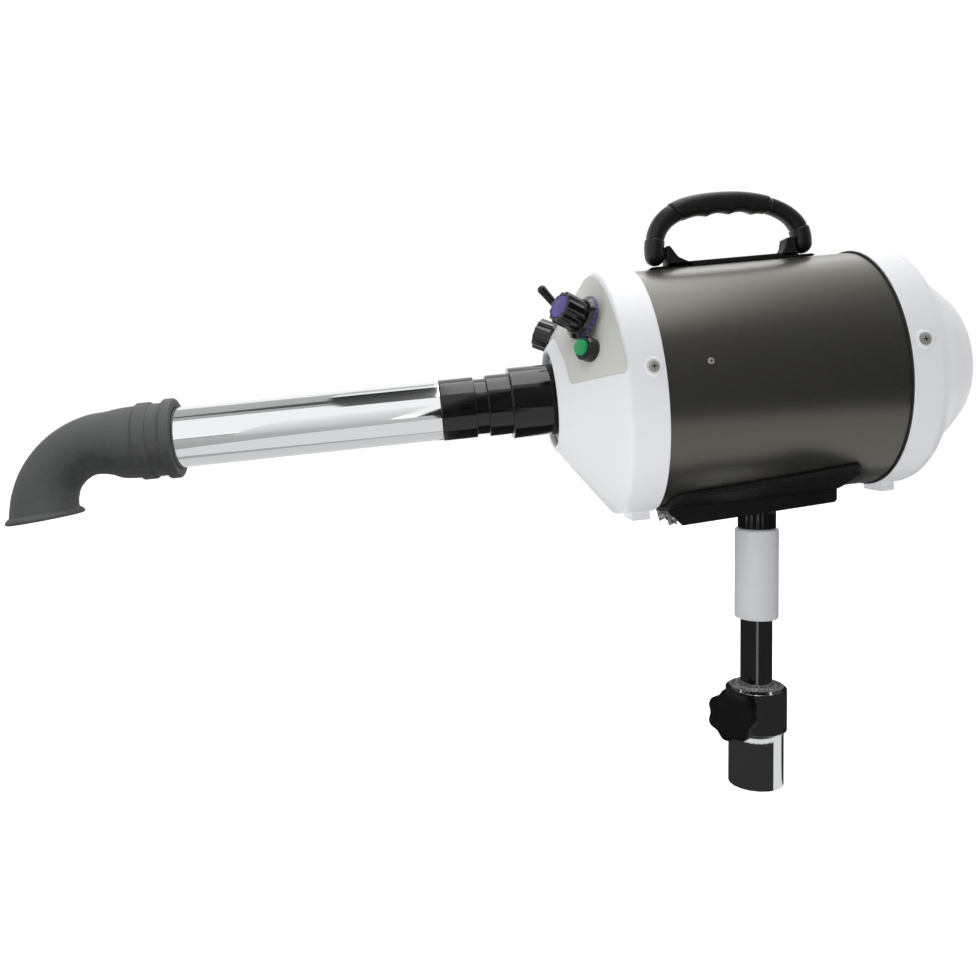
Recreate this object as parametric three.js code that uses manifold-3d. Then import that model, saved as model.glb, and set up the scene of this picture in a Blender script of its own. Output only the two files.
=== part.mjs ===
// A pet dryer on the top of its height-adjustable pole, in millimetres, +Z up.
// The origin is the centre of the pole's lower end. The air leaves towards -X, the intake is at +X.
import * as THREE from "three";
import { mergeVertices } from "three/addons/utils/BufferGeometryUtils.js";
import Module from "manifold-3d";

const wasm = await Module();
wasm.setup();

// ---------------------------------------------------------------- driving dimensions
const FIT = 0.3; // running and seating clearance between two pieces
const WALL = 2.4; // moulded covers
const ROUND = 28; // facets round the large turned pieces
const INSIDE = 16; // facets round the large pieces inside
const FINE = 16; // facets round the small ones

// Stand
const POLE_R = 22.2;
const POLE_WALL = 1.5;
const PLUG_THICK = 5;
const COLLAR_R = 24.7;
const COLLAR_BOTTOM = 45.6;
const COLLAR_TOP = 81;
const COLLAR_SEAT = 14; // depth of the socket over the pole
const COLLAR_EDGE = 2;
const BUSH_WALL = 3.8;
const BUSH_LIP = 1.2;
const ROD_R = 12.9;
const ROD_BOTTOM = 16;
const ROD_TOP = 196;
const ROD_WALL = 1.6;
const GUIDE_LENGTH = 10;
const SLEEVE_R = 17.7;
const SLEEVE_TOP = ROD_TOP + 14;
const SLEEVE_BOTTOM = SLEEVE_TOP - 74;
const CLAMP_Z = 64;
const CLAMP_TURN = 50; // degrees from -Y towards -X
const CLAMP_SCREW_R = 4;
const CLAMP_BOSS_R = 8;
const CLAMP_BOSS_REACH = 29;
const CLAMP_KNOB_R = 21.5;
const CLAMP_KNOB_THICK = 13;
const CLAMP_KNOB_START = 32;
const CLAMP_LOBES = 7;
const CLAMP_LOBE_DEPTH = 3;

// Body, on the drum's axis; x = 0 is above the tilt pin
const DRUM_R = 95;
const DRUM_WALL = 1.5;
const DRUM_FRONT = -91;
const DRUM_REAR = 93.3;
const OVERLAP = 12; // the covers' skirts over the drum
const COVER_R = DRUM_R + 2.4;
const OUTLET_FACE = -157.5;
const RIM_FRONT = -163;
const RIM_R = 38.8;
const RING_R = 36.2;
const CONE_X = -157.6; // a point of the nose cone, and its slope
const CONE_R = 45.9;
const CONE_SLOPE = 1.355;
// Rear cover: [share of its radius, distance behind the drum], from the drum to the intake's crown
const REAR_PROFILE = [
  [1, 0],
  [1, 22],
  [0.987, 26.5],
  [0.956, 30.5],
  [0.89, 36],
  [0.821, 42],
  [0.76, 48],
  [0.708, 54],
  [0.677, 58.3],
  [0.658, 60],
  [0.636, 63],
  [0.586, 69],
  [0.541, 73.5],
  [0.47, 78],
  [0.408, 80.5],
];
const REAR_WALL = 2.6;
const CROWN_SHARE = 0.39;
const CROWN_BACK = 81;
const CROWN_RISE = 7;
const INTAKE_SLOTS = 10;
const GLAND = { x: 112, turn: 215 }; // on the side that faces away
const GLAND_R = 6.4;
const CORD_R = 4;
const FOOT_LENGTH = 15;
const FOOT_HALF = 15;
const FOOT_DROP = 5.5;
const TAIL_FOOT = { set: 7, length: 12 }; // its distance behind the drum

// Head joint
const PIN_Z = SLEEVE_TOP + 19.3;
const PIN_R = 3;
const HEAD_TILT = 6.08; // degrees, nose down
const AXIS_ABOVE_PIN = DRUM_R + 8;
const SWIVEL_R = 14;
const SWIVEL_TOP = SLEEVE_TOP + 14;
const SWIVEL_FLUTES = 12;
const TONGUE_R = 6.4;
const TONGUE_HALF = 6;

// Air outlet and nozzle
const SLEEVE_BIG_R = 28.2;
const SLEEVE_BIG_FRONT = -194.5;
const SLEEVE_BIG_END = -143;
const STEP_RING_R = 24.2;
const STEP_RING_FRONT = -213;
const NECK_R = 21.9;
const COLLAR_RING_R = 24;
const COLLAR_RING_BACK = -222.5;
const TUBE_END = -249.9;
const TUBE_R = 23.2;
const TUBE_WALL = 1.5;
const SPIGOT = 24;
const TUBE_START = -478;
const ELBOW_MOUTH = -450.5;

// Handle
const HANDLE_MID = -3.1;
const HANDLE_HALF = 70.7;
const HANDLE_TOP = DRUM_R + 59.6;
const HANDLE_BASE_Z = DRUM_R + 4;
const HANDLE_PIVOT_Z = DRUM_R + 13;
const CAP_TURN_R = 9.2; // the caps are round about their pivot, to clear the plate when folded
const HANDLE_THICK = 19;
const HANDLE_DEEP = 10.5; // half thickness across
const CAP_WIDE = 16.6;
const LUG_WIDE = 16.5;
const BASE_HALF = 8; // half thickness of the base's lugs across the body
const FINGERS = 4;

// Controls on the nose cone: distance along the body, angle from -Y towards +Z, degrees
const SPEED = { x: -134.9, turn: 45.8 };
const BUTTON = { x: -137.1, turn: 26.4 };
const TOGGLE = { x: -142, turn: 93 };
const HEAT = { x: -141, turn: 135 };
const TOGGLE_TILT = 18;
const KNOB_R = 12.4;
const SKIRT_R = 16.6; // the speed knob's scale ring
const HEAT_R = 13.6;

// Fan and motor inside
const FAN_R = 66;
const FAN_FRONT = 18;
const FAN_REAR = 72;
const MOTOR_R = 38;
const MOTOR_FRONT = -48;
const SHAFT_R = 4;
const BLADES = 7;

// ---------------------------------------------------------------- tools
const DEG = Math.PI / 180;

// A closed geometry as a solid, turned outwards whichever way its faces ran.
function solid(geometry) {
  const bare = geometry.index ? geometry.toNonIndexed() : geometry.clone();
  for (const name of Object.keys(bare.attributes)) {
    if (name !== "position") bare.deleteAttribute(name);
  }
  const merged = mergeVertices(bare, 1e-3);
  const triVerts = new Uint32Array(merged.index.array);
  const make = () =>
    new wasm.Manifold(
      new wasm.Mesh({ numProp: 3, vertProperties: merged.attributes.position.array, triVerts }),
    );
  const first = make();
  if (first.volume() > 0) return first;
  for (let i = 0; i < triVerts.length; i += 3) {
    [triVerts[i + 1], triVerts[i + 2]] = [triVerts[i + 2], triVerts[i + 1]];
  }
  return make();
}

function geometryOf(body) {
  const mesh = body.getMesh();
  const points = new Float32Array(mesh.numVert * 3);
  for (let i = 0; i < mesh.numVert; i++) {
    points.set(mesh.vertProperties.subarray(i * mesh.numProp, i * mesh.numProp + 3), i * 3);
  }
  return new THREE.BufferGeometry()
    .setAttribute("position", new THREE.BufferAttribute(points, 3))
    .setIndex(new THREE.BufferAttribute(new Uint32Array(mesh.triVerts), 1));
}

const join = (first, ...rest) => rest.reduce((sum, next) => sum.add(next), first);
const cut = (first, ...rest) => rest.reduce((left, next) => left.subtract(next), first);

// A closed outline of [radius, height] points turned about Z, or about X with height along X.
function turnedZ(outline, facets = FINE) {
  const points = [...outline, outline[0]].map(([r, h]) => new THREE.Vector2(r, h));
  return solid(new THREE.LatheGeometry(points, facets).rotateX(Math.PI / 2));
}
function turnedX(outline, facets = ROUND) {
  const points = [...outline, outline[0]].map(([r, h]) => new THREE.Vector2(r, h));
  return solid(new THREE.LatheGeometry(points, facets).rotateZ(-Math.PI / 2));
}
function ringX(outer, inner, x0, x1, facets = ROUND) {
  return turnedX([[inner, x0], [outer, x0], [outer, x1], [inner, x1]], facets);
}
function ringZ(outer, inner, z0, z1, facets = FINE) {
  return turnedZ([[inner, z0], [outer, z0], [outer, z1], [inner, z1]], facets);
}

// A cylinder from one point to another.
function rod(from, to, radius, facets = FINE) {
  const along = new THREE.Vector3().subVectors(to, from);
  const geometry = new THREE.CylinderGeometry(radius, radius, along.length(), facets);
  const turn = new THREE.Quaternion().setFromUnitVectors(
    new THREE.Vector3(0, 1, 0),
    along.clone().normalize(),
  );
  geometry.applyQuaternion(turn);
  geometry.translate(...from.clone().addScaledVector(along, 0.5).toArray());
  return solid(geometry);
}
const V = (x, y, z) => new THREE.Vector3(x, y, z);

function block(x0, x1, y0, y1, z0, z1) {
  const geometry = new THREE.BoxGeometry(x1 - x0, y1 - y0, z1 - z0);
  return solid(geometry.translate((x0 + x1) / 2, (y0 + y1) / 2, (z0 + z1) / 2));
}

// An outline drawn in the XZ plane, extruded from y0 to y1.
function slab(outline, y0, y1) {
  const shape = new THREE.Shape(outline.map(([x, z]) => new THREE.Vector2(x, z)));
  const geometry = new THREE.ExtrudeGeometry(shape, { depth: y1 - y0, bevelEnabled: false });
  return solid(geometry.rotateX(Math.PI / 2).translate(0, y1, 0));
}

// A solid through closed rings of points, each with the same number of points.
function loft(rings) {
  const count = rings[0].length;
  const points = rings.flat();
  const faces = [];
  for (let k = 0; k + 1 < rings.length; k++) {
    for (let i = 0; i < count; i++) {
      const j = (i + 1) % count;
      const a = k * count + i;
      const b = k * count + j;
      faces.push(a, b, b + count, a, b + count, a + count);
    }
  }
  for (const [start, flip] of [[0, true], [(rings.length - 1) * count, false]]) {
    const ring = points.slice(start, start + count);
    const middle = ring.reduce((sum, p) => sum.add(p), V(0, 0, 0)).multiplyScalar(1 / count);
    const centre = points.push(middle) - 1;
    for (let i = 0; i < count; i++) {
      const j = (i + 1) % count;
      if (flip) faces.push(centre, start + j, start + i);
      else faces.push(centre, start + i, start + j);
    }
  }
  const flat = new Float32Array(points.flatMap((p) => p.toArray()));
  return solid(
    new THREE.BufferGeometry()
      .setAttribute("position", new THREE.BufferAttribute(flat, 3))
      .setIndex(faces),
  );
}

// A fluted or lobed outline, extruded upwards with a small bevel.
function lobed(radius, depth, count, height, bevel, steps = 4) {
  const shape = new THREE.Shape();
  const total = count * steps;
  for (let i = 0; i < total; i++) {
    const angle = (i / total) * 2 * Math.PI;
    const r = radius - bevel - depth * (0.5 - 0.5 * Math.cos(count * angle));
    shape[i ? "lineTo" : "moveTo"](r * Math.cos(angle), r * Math.sin(angle));
  }
  const geometry = new THREE.ExtrudeGeometry(shape, {
    depth: height - 2 * bevel,
    bevelThickness: bevel,
    bevelSize: bevel,
    bevelSegments: 1,
    curveSegments: 1,
  });
  return solid(geometry.translate(0, 0, bevel));
}

const materials = {
  chrome: { color: "#c9ccd0", roughness: 0.08, metalness: 1 },
  steel: { color: "#9da1a5", roughness: 0.3, metalness: 1 },
  shell: { color: "#4b4844", roughness: 0.35, metalness: 0.7 },
  white: { color: "#e6e7ea", roughness: 0.4, metalness: 0 },
  grey: { color: "#b9bab4", roughness: 0.5, metalness: 0 },
  black: { color: "#17171a", roughness: 0.3, metalness: 0 },
  matteBlack: { color: "#1d1e20", roughness: 0.6, metalness: 0 },
  rubber: { color: "#3b3b3b", roughness: 0.75, metalness: 0 },
  purple: { color: "#5b4a9e", roughness: 0.4, metalness: 0 },
  green: { color: "#12a05a", roughness: 0.25, metalness: 0 },
  copper: { color: "#a05a34", roughness: 0.4, metalness: 1 },
  mica: { color: "#b8ad90", roughness: 0.6, metalness: 0 },
  foam: { color: "#33353a", roughness: 0.95, metalness: 0 },
  board: { color: "#2c5d40", roughness: 0.6, metalness: 0 },
};
for (const [name, values] of Object.entries(materials)) {
  materials[name] = new THREE.MeshStandardMaterial({ name, ...values });
}

function add(parent, name, body, material) {
  const mesh = new THREE.Mesh(geometryOf(body), material);
  mesh.name = name;
  parent.add(mesh);
  return mesh;
}

// ---------------------------------------------------------------- stand
const root = new THREE.Group();
const stand = new THREE.Group();
root.add(stand);

const poleTop = COLLAR_BOTTOM + COLLAR_SEAT - FIT;
const poleBore = POLE_R - POLE_WALL;
const collarShoulder = COLLAR_BOTTOM + COLLAR_SEAT;
const rodBore = ROD_R + FIT;
const bushR = rodBore + BUSH_WALL;

function buildStand() {
  add(stand, "pole_tube", ringZ(POLE_R, poleBore, 0, poleTop, 24), materials.chrome);
  const plug = turnedZ([[0, 0], [poleBore - FIT, 0], [poleBore - FIT, PLUG_THICK], [0, PLUG_THICK]]);
  add(stand, "pole_end_plug", plug, materials.matteBlack);

  const turn = CLAMP_TURN * DEG;
  const out = V(-Math.sin(turn), -Math.cos(turn), 0);
  const at = (reach) => out.clone().multiplyScalar(reach).setZ(CLAMP_Z);
  const collar = turnedZ(
    [
      [POLE_R + FIT, COLLAR_BOTTOM],
      [COLLAR_R, COLLAR_BOTTOM],
      [COLLAR_R, COLLAR_TOP - COLLAR_EDGE],
      [COLLAR_R - COLLAR_EDGE, COLLAR_TOP],
      [bushR + FIT, COLLAR_TOP],
      [bushR + FIT, collarShoulder],
      [POLE_R + FIT, collarShoulder],
    ],
    ROUND,
  );
  const boss = rod(at(bushR + 1), at(CLAMP_BOSS_REACH), CLAMP_BOSS_R);
  const core = rod(at(0), at(CLAMP_BOSS_REACH + 1), CLAMP_SCREW_R + FIT);
  const bore = ringZ(bushR + FIT, 0.001, CLAMP_Z - 12, CLAMP_Z + 12, ROUND);
  const socket = ringZ(POLE_R + FIT, 0.001, CLAMP_Z - 12, collarShoulder, ROUND);
  add(stand, "pole_collar", cut(join(collar, cut(boss, bore, socket)), core), materials.chrome);

  const bush = turnedZ([
    [rodBore, collarShoulder + FIT],
    [bushR, collarShoulder + FIT],
    [bushR, COLLAR_TOP + FIT],
    [bushR + BUSH_LIP, COLLAR_TOP + FIT],
    [bushR + BUSH_LIP - 0.6, COLLAR_TOP + BUSH_LIP + FIT],
    [rodBore, COLLAR_TOP + BUSH_LIP + FIT],
  ]);
  add(stand, "collar_bush", cut(bush, core), materials.matteBlack);

  // The clamp: a lobed knob on a screw, which presses a pad on the rod.
  const padLength = BUSH_WALL - FIT;
  const pad = rod(at(ROD_R + FIT), at(ROD_R + FIT + padLength), CLAMP_SCREW_R - 0.2, 14);
  add(stand, "clamp_pad", pad, materials.rubber);
  const screwStart = ROD_R + padLength + 2 * FIT;
  const screw = rod(at(screwStart), at(CLAMP_KNOB_START + 8), CLAMP_SCREW_R, 14);
  add(stand, "clamp_screw", screw, materials.steel);
  const knob = new THREE.Group();
  knob.position.copy(at(CLAMP_KNOB_START));
  knob.quaternion.setFromUnitVectors(V(0, 0, 1), out);
  stand.add(knob);
  const body = lobed(CLAMP_KNOB_R, CLAMP_LOBE_DEPTH, CLAMP_LOBES, CLAMP_KNOB_THICK, 1.6);
  const hub = turnedZ([[0, -2.4], [7.2, -2.4], [8.6, 1], [0, 1]]);
  const screwHole = rod(V(0, 0, -5), V(0, 0, 8 + FIT), CLAMP_SCREW_R + FIT, 14);
  add(knob, "clamp_knob", cut(join(body, hub), screwHole), materials.matteBlack);
}

// ---------------------------------------------------------------- rod, sleeve and swivel
const lift = new THREE.Group();
root.add(lift);

function buildLift() {
  add(lift, "lift_rod", ringZ(ROD_R, ROD_R - ROD_WALL, ROD_BOTTOM, ROD_TOP, 24), materials.chrome);
  const guideR = poleBore - FIT;
  const guide = turnedZ([
    [0, ROD_BOTTOM - 2.4],
    [guideR, ROD_BOTTOM - 2.4],
    [guideR, ROD_BOTTOM + GUIDE_LENGTH],
    [rodBore, ROD_BOTTOM + GUIDE_LENGTH],
    [rodBore, ROD_BOTTOM - FIT],
    [0, ROD_BOTTOM - FIT],
  ]);
  add(lift, "rod_guide", guide, materials.matteBlack);
  const edge = 1.4;
  const sleeve = turnedZ(
    [
      [rodBore, SLEEVE_BOTTOM],
      [SLEEVE_R - edge, SLEEVE_BOTTOM],
      [SLEEVE_R, SLEEVE_BOTTOM + edge],
      [SLEEVE_R, SLEEVE_TOP - edge],
      [SLEEVE_R - edge, SLEEVE_TOP],
      [rodBore, SLEEVE_TOP],
    ],
    24,
  );
  add(lift, "rod_sleeve", sleeve, materials.grey);

  // The swivel bush turns in the sleeve's mouth and carries the steel tongue.
  const shankR = 5;
  const top = lobed(SWIVEL_R, 0.9, SWIVEL_FLUTES, SWIVEL_TOP - SLEEVE_TOP - FIT, 0.4, 3);
  const spigot = turnedZ([
    [0, ROD_TOP + FIT],
    [ROD_R, ROD_TOP + FIT],
    [ROD_R, SLEEVE_TOP + 2],
    [0, SLEEVE_TOP + 2],
  ]);
  const well = rod(V(0, 0, SLEEVE_TOP + 1), V(0, 0, SWIVEL_TOP + 1), shankR + FIT);
  const bush = cut(join(top.translate(0, 0, SLEEVE_TOP + FIT), spigot), well);
  add(lift, "swivel_bush", bush, materials.black);
  const shank = rod(V(0, 0, SLEEVE_TOP + 1 + FIT), V(0, 0, SWIVEL_TOP + 1), shankR);
  const lug = block(-TONGUE_R, TONGUE_R, -TONGUE_HALF, TONGUE_HALF, SWIVEL_TOP + FIT, PIN_Z);
  const eye = rod(V(0, -TONGUE_HALF, PIN_Z), V(0, TONGUE_HALF, PIN_Z), TONGUE_R);
  const below = block(-20, 20, -20, 20, SLEEVE_TOP, SWIVEL_TOP + FIT);
  const hole = rod(V(0, -20, PIN_Z), V(0, 20, PIN_Z), PIN_R + FIT);
  add(lift, "tilt_tongue", cut(join(shank, lug, cut(eye, below)), hole), materials.steel);
}

// ---------------------------------------------------------------- head
const head = new THREE.Group();
head.position.set(0, 0, PIN_Z);
head.rotation.y = -HEAD_TILT * DEG;
root.add(head);
const dryer = new THREE.Group(); // on the drum's axis
dryer.position.set(0, 0, AXIS_ABOVE_PIN);
head.add(dryer);

const shellR = DRUM_R + FIT; // inside of the covers' skirts
const pinZ = -AXIS_ABOVE_PIN;
const around = (x, r, turn) => V(x, -r * Math.cos(turn * DEG), r * Math.sin(turn * DEG));
const coneR = (x) => CONE_R + CONE_SLOPE * (x - CONE_X);
const coneTilt = Math.atan(CONE_SLOPE);

// The seat of a control: a group on the cone whose +Z is the surface normal and +X runs up the cone.
function coneSeat({ x, turn }) {
  const normal = V(
    -Math.sin(coneTilt),
    -Math.cos(coneTilt) * Math.cos(turn * DEG),
    Math.cos(coneTilt) * Math.sin(turn * DEG),
  );
  const up = V(
    Math.cos(coneTilt),
    -Math.sin(coneTilt) * Math.cos(turn * DEG),
    Math.sin(coneTilt) * Math.sin(turn * DEG),
  );
  const seat = new THREE.Group();
  seat.position.copy(around(x, coneR(x), turn));
  const side = new THREE.Vector3().crossVectors(normal, up);
  seat.quaternion.setFromRotationMatrix(new THREE.Matrix4().makeBasis(up, side, normal));
  seat.updateMatrix();
  dryer.add(seat);
  return seat;
}
const seatedRod = (seat, z0, z1, radius, facets) =>
  rod(V(0, 0, z0).applyMatrix4(seat.matrix), V(0, 0, z1).applyMatrix4(seat.matrix), radius, facets);

const screwTurns = [9.5, 170.5];
const NOSE_SCREW_X = -99.7;
const TAIL_SCREW_X = 104.1;
const SCREW_HEAD_R = 3.8;
const SCREW_SHANK_R = 1.9;
const SHELL_SCREW = { x: -57.4, turn: 9.6 };

function screwHoles(x) {
  return screwTurns.flatMap((turn) => [
    rod(around(x, DRUM_R - 8, turn), around(x, COVER_R + 3, turn), SCREW_SHANK_R + FIT, 8),
    rod(around(x, COVER_R - 1, turn), around(x, COVER_R + 3, turn), SCREW_HEAD_R + FIT, 12),
  ]);
}
function coverScrew(x, turn) {
  const shank = rod(around(x, DRUM_R - 6, turn), around(x, COVER_R - 0.5, turn), SCREW_SHANK_R, 8);
  const top = rod(around(x, COVER_R - 0.7, turn), around(x, COVER_R + 1, turn), SCREW_HEAD_R, 12);
  return join(shank, top);
}

function footPad(x0, length) {
  return block(x0, x0 + length, -FOOT_HALF, FOOT_HALF, -COVER_R - FOOT_DROP, -COVER_R + 2.5);
}

const seats = {};
function buildCovers() {
  add(dryer, "drum_shell", cut(
    ringX(DRUM_R, DRUM_R - DRUM_WALL, DRUM_FRONT - OVERLAP, DRUM_REAR + OVERLAP),
    ...screwHoles(NOSE_SCREW_X),
    ...screwHoles(TAIL_SCREW_X),
    rod(
      around(SHELL_SCREW.x, DRUM_R - 8, SHELL_SCREW.turn),
      around(SHELL_SCREW.x, DRUM_R + 3, SHELL_SCREW.turn),
      SCREW_SHANK_R + FIT,
      8,
    ),
  ), materials.shell);

  const inner = (x) => coneR(x) - WALL / Math.cos(coneTilt);
  const seatR = RING_R + FIT + WALL; // outside of the tube that holds the outlet ring
  const coneEnd = CONE_X + (COVER_R - 3 - CONE_R) / CONE_SLOPE;
  const shelfX = DRUM_FRONT - OVERLAP - FIT;
  const nose = turnedX([
    [RING_R + FIT, OUTLET_FACE + 14],
    [RING_R + FIT, RIM_FRONT + 3],
    [RIM_R - 0.8, RIM_FRONT + 0.6],
    [RIM_R + 0.8, RIM_FRONT],
    [RIM_R + 2.8, RIM_FRONT + 0.8],
    [CONE_R - 2, CONE_X - 2 / CONE_SLOPE],
    [coneR(coneEnd), coneEnd],
    [COVER_R - 1.1, coneEnd + 2.2],
    [COVER_R - 0.3, coneEnd + 4.4],
    [COVER_R, coneEnd + 7],
    [COVER_R, DRUM_FRONT],
    [shellR, DRUM_FRONT],
    [shellR, shelfX],
    [DRUM_R - DRUM_WALL, shelfX],
    [DRUM_R - DRUM_WALL, coneEnd + 5],
    [inner(coneEnd), coneEnd + 1.4],
    [seatR, CONE_X + (seatR - inner(CONE_X)) / CONE_SLOPE],
    [seatR, OUTLET_FACE + 14],
  ]);
  for (const [name, place] of Object.entries({ SPEED, BUTTON, TOGGLE, HEAT })) {
    seats[name] = coneSeat(place);
  }
  const holes = [
    seatedRod(seats.SPEED, -10, 8, 4.2, 12),
    seatedRod(seats.HEAT, -10, 8, 4.2, 12),
    seatedRod(seats.BUTTON, -10, 8, 6.6, 16),
    seatedRod(seats.TOGGLE, -10, 8, 6.3, 16),
  ];
  const footX = DRUM_FRONT - FOOT_LENGTH - 2.6;
  const noseFoot = cut(
    footPad(footX, FOOT_LENGTH),
    ringX(COVER_R - 1, 0.001, footX - 10, footX + FOOT_LENGTH + 10),
  );
  const nosePiece = cut(join(nose, noseFoot), ...holes, ...screwHoles(NOSE_SCREW_X));
  add(dryer, "front_cover", nosePiece, materials.white);

  // The control label: a cone sector with rounded corners, a little proud of the nose.
  const low = { x: CONE_X + 4.4, turn: 10.5 };
  const high = { x: coneEnd + 2.2, turn: 169.5 };
  const steps = 14;
  const corner = 5;
  const rings = [];
  for (let i = 0; i <= steps; i++) {
    const turn = low.turn + ((high.turn - low.turn) * i) / steps;
    const edge = Math.min(turn - low.turn, high.turn - turn) * DEG * 75;
    const trim = edge < corner ? corner - Math.sqrt(corner ** 2 - (corner - edge) ** 2) : 0;
    const drop = 0.75 * trim;
    const proud = FIT / Math.cos(coneTilt);
    const thick = 0.5 / Math.cos(coneTilt);
    const x0 = low.x + drop;
    const x1 = high.x - drop - 0.8;
    rings.push([
      around(x0, coneR(x0) + proud, turn),
      around(x1, coneR(x1) + proud, turn),
      around(x1, coneR(x1) + proud + thick, turn),
      around(x0, coneR(x0) + proud + thick, turn),
    ]);
  }
  add(
    dryer,
    "control_label",
    cut(
      loft(rings),
      seatedRod(seats.SPEED, -3, 8, 5, 12),
      seatedRod(seats.HEAT, -3, 8, 5, 12),
      seatedRod(seats.BUTTON, -3, 8, 9.4, 16),
      seatedRod(seats.TOGGLE, -3, 8, 6.8, 12),
    ),
    materials.grey,
  );

  // Rear cover: a domed shoulder and a second, smaller dome whose crown is the intake grille.
  const skinR = COVER_R - 0.5;
  const profile = REAR_PROFILE.map(([share, back]) => [share * skinR, DRUM_REAR + back]);
  const tail = turnedX([
    [shellR, DRUM_REAR],
    ...profile,
    [CROWN_SHARE * skinR + 0.4, DRUM_REAR + CROWN_BACK - REAR_WALL],
    ...rearLining(skinR).reverse(),
    [skinR - 3.7, profile[1][1]],
    [DRUM_R - DRUM_WALL, DRUM_REAR + OVERLAP + 4],
    [DRUM_R - DRUM_WALL, DRUM_REAR + OVERLAP + FIT],
    [shellR, DRUM_REAR + OVERLAP + FIT],
  ]);
  const tailFoot = cut(
    footPad(DRUM_REAR + TAIL_FOOT.set, TAIL_FOOT.length),
    ringX(COVER_R - 1.2, 0.001, DRUM_REAR - 10, DRUM_REAR + 25),
  );
  const onGland = (height) => around(GLAND.x, COVER_R + height, GLAND.turn);
  const throughSkin = (inner, outer, radius) => rod(onGland(inner), onGland(outer), radius, 12);
  const glandHole = throughSkin(-18, 12, GLAND_R + FIT);
  add(
    dryer,
    "rear_cover",
    cut(join(tail, tailFoot), glandHole, ...screwHoles(TAIL_SCREW_X)),
    materials.white,
  );
  const gland = join(throughSkin(-7.4, 10.6, GLAND_R), throughSkin(FIT, 5.6, GLAND_R + 2));
  add(dryer, "cable_gland", cut(gland, throughSkin(-10, 14, CORD_R)), materials.black);
  add(dryer, "rear_seal", ringX(DRUM_R + 1.4, shellR, DRUM_REAR - 1.1, DRUM_REAR - FIT), materials.black);

  for (const [i, turn] of screwTurns.entries()) {
    add(dryer, "nose_screw_" + (i + 1), coverScrew(NOSE_SCREW_X, turn), materials.steel);
    add(dryer, "tail_screw_" + (i + 1), coverScrew(TAIL_SCREW_X, turn), materials.steel);
  }
  const { x, turn } = SHELL_SCREW;
  add(
    dryer,
    "shell_screw",
    join(
      rod(around(x, DRUM_R - 6, turn), around(x, DRUM_R + 1, turn), SCREW_SHANK_R, 8),
      rod(around(x, DRUM_R + FIT, turn), around(x, DRUM_R + 1.3, turn), 2.6, 12),
    ),
    materials.steel,
  );
}

// The rear cover's inner line: every second point of its profile, one wall further in.
function rearLining(skinR) {
  return REAR_PROFILE.filter((_, i) => i > 1 && i % 2).map(([share, back]) => [
    share * skinR - REAR_WALL,
    DRUM_REAR + back - REAR_WALL,
  ]);
}

// Domed intake grille with slots, and the filter foam that sits in the cover's crown behind it.
function buildIntake() {
  const skinR = COVER_R - 0.5;
  const crownR = CROWN_SHARE * skinR;
  const crownX = DRUM_REAR + CROWN_BACK;
  const rise = (share) => CROWN_RISE * (1 - share ** 2.6);
  const dome = [0, 0.32, 0.58, 0.82, 1].map((share) => [share * crownR, crownX + rise(share)]);
  const under = dome.slice(0, 3).map(([r, x]) => [r, x - WALL]).reverse();
  const rim = crownX - 1.8;
  let grille = turnedX([...dome, [crownR, rim], [crownR - 3.8, rim], ...under], 24);
  for (let i = 0; i < INTAKE_SLOTS; i++) {
    const slot = block(crownX - 12, crownX + 18, -1.4, 1.4, 0.29 * crownR, 0.87 * crownR);
    grille = cut(grille, slot.rotate([(i * 360) / INTAKE_SLOTS, 0, 0]));
  }
  add(dryer, "intake_grille", grille, materials.white);
  const [wide, narrow] = rearLining(skinR).slice(-2);
  const foam = turnedX([
    [0, wide[1]],
    [wide[0] - FIT - 0.1, wide[1]],
    [narrow[0] - FIT - 0.1, narrow[1]],
    [0, narrow[1]],
  ], 24);
  add(dryer, "filter_foam", foam, materials.foam);
}

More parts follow.
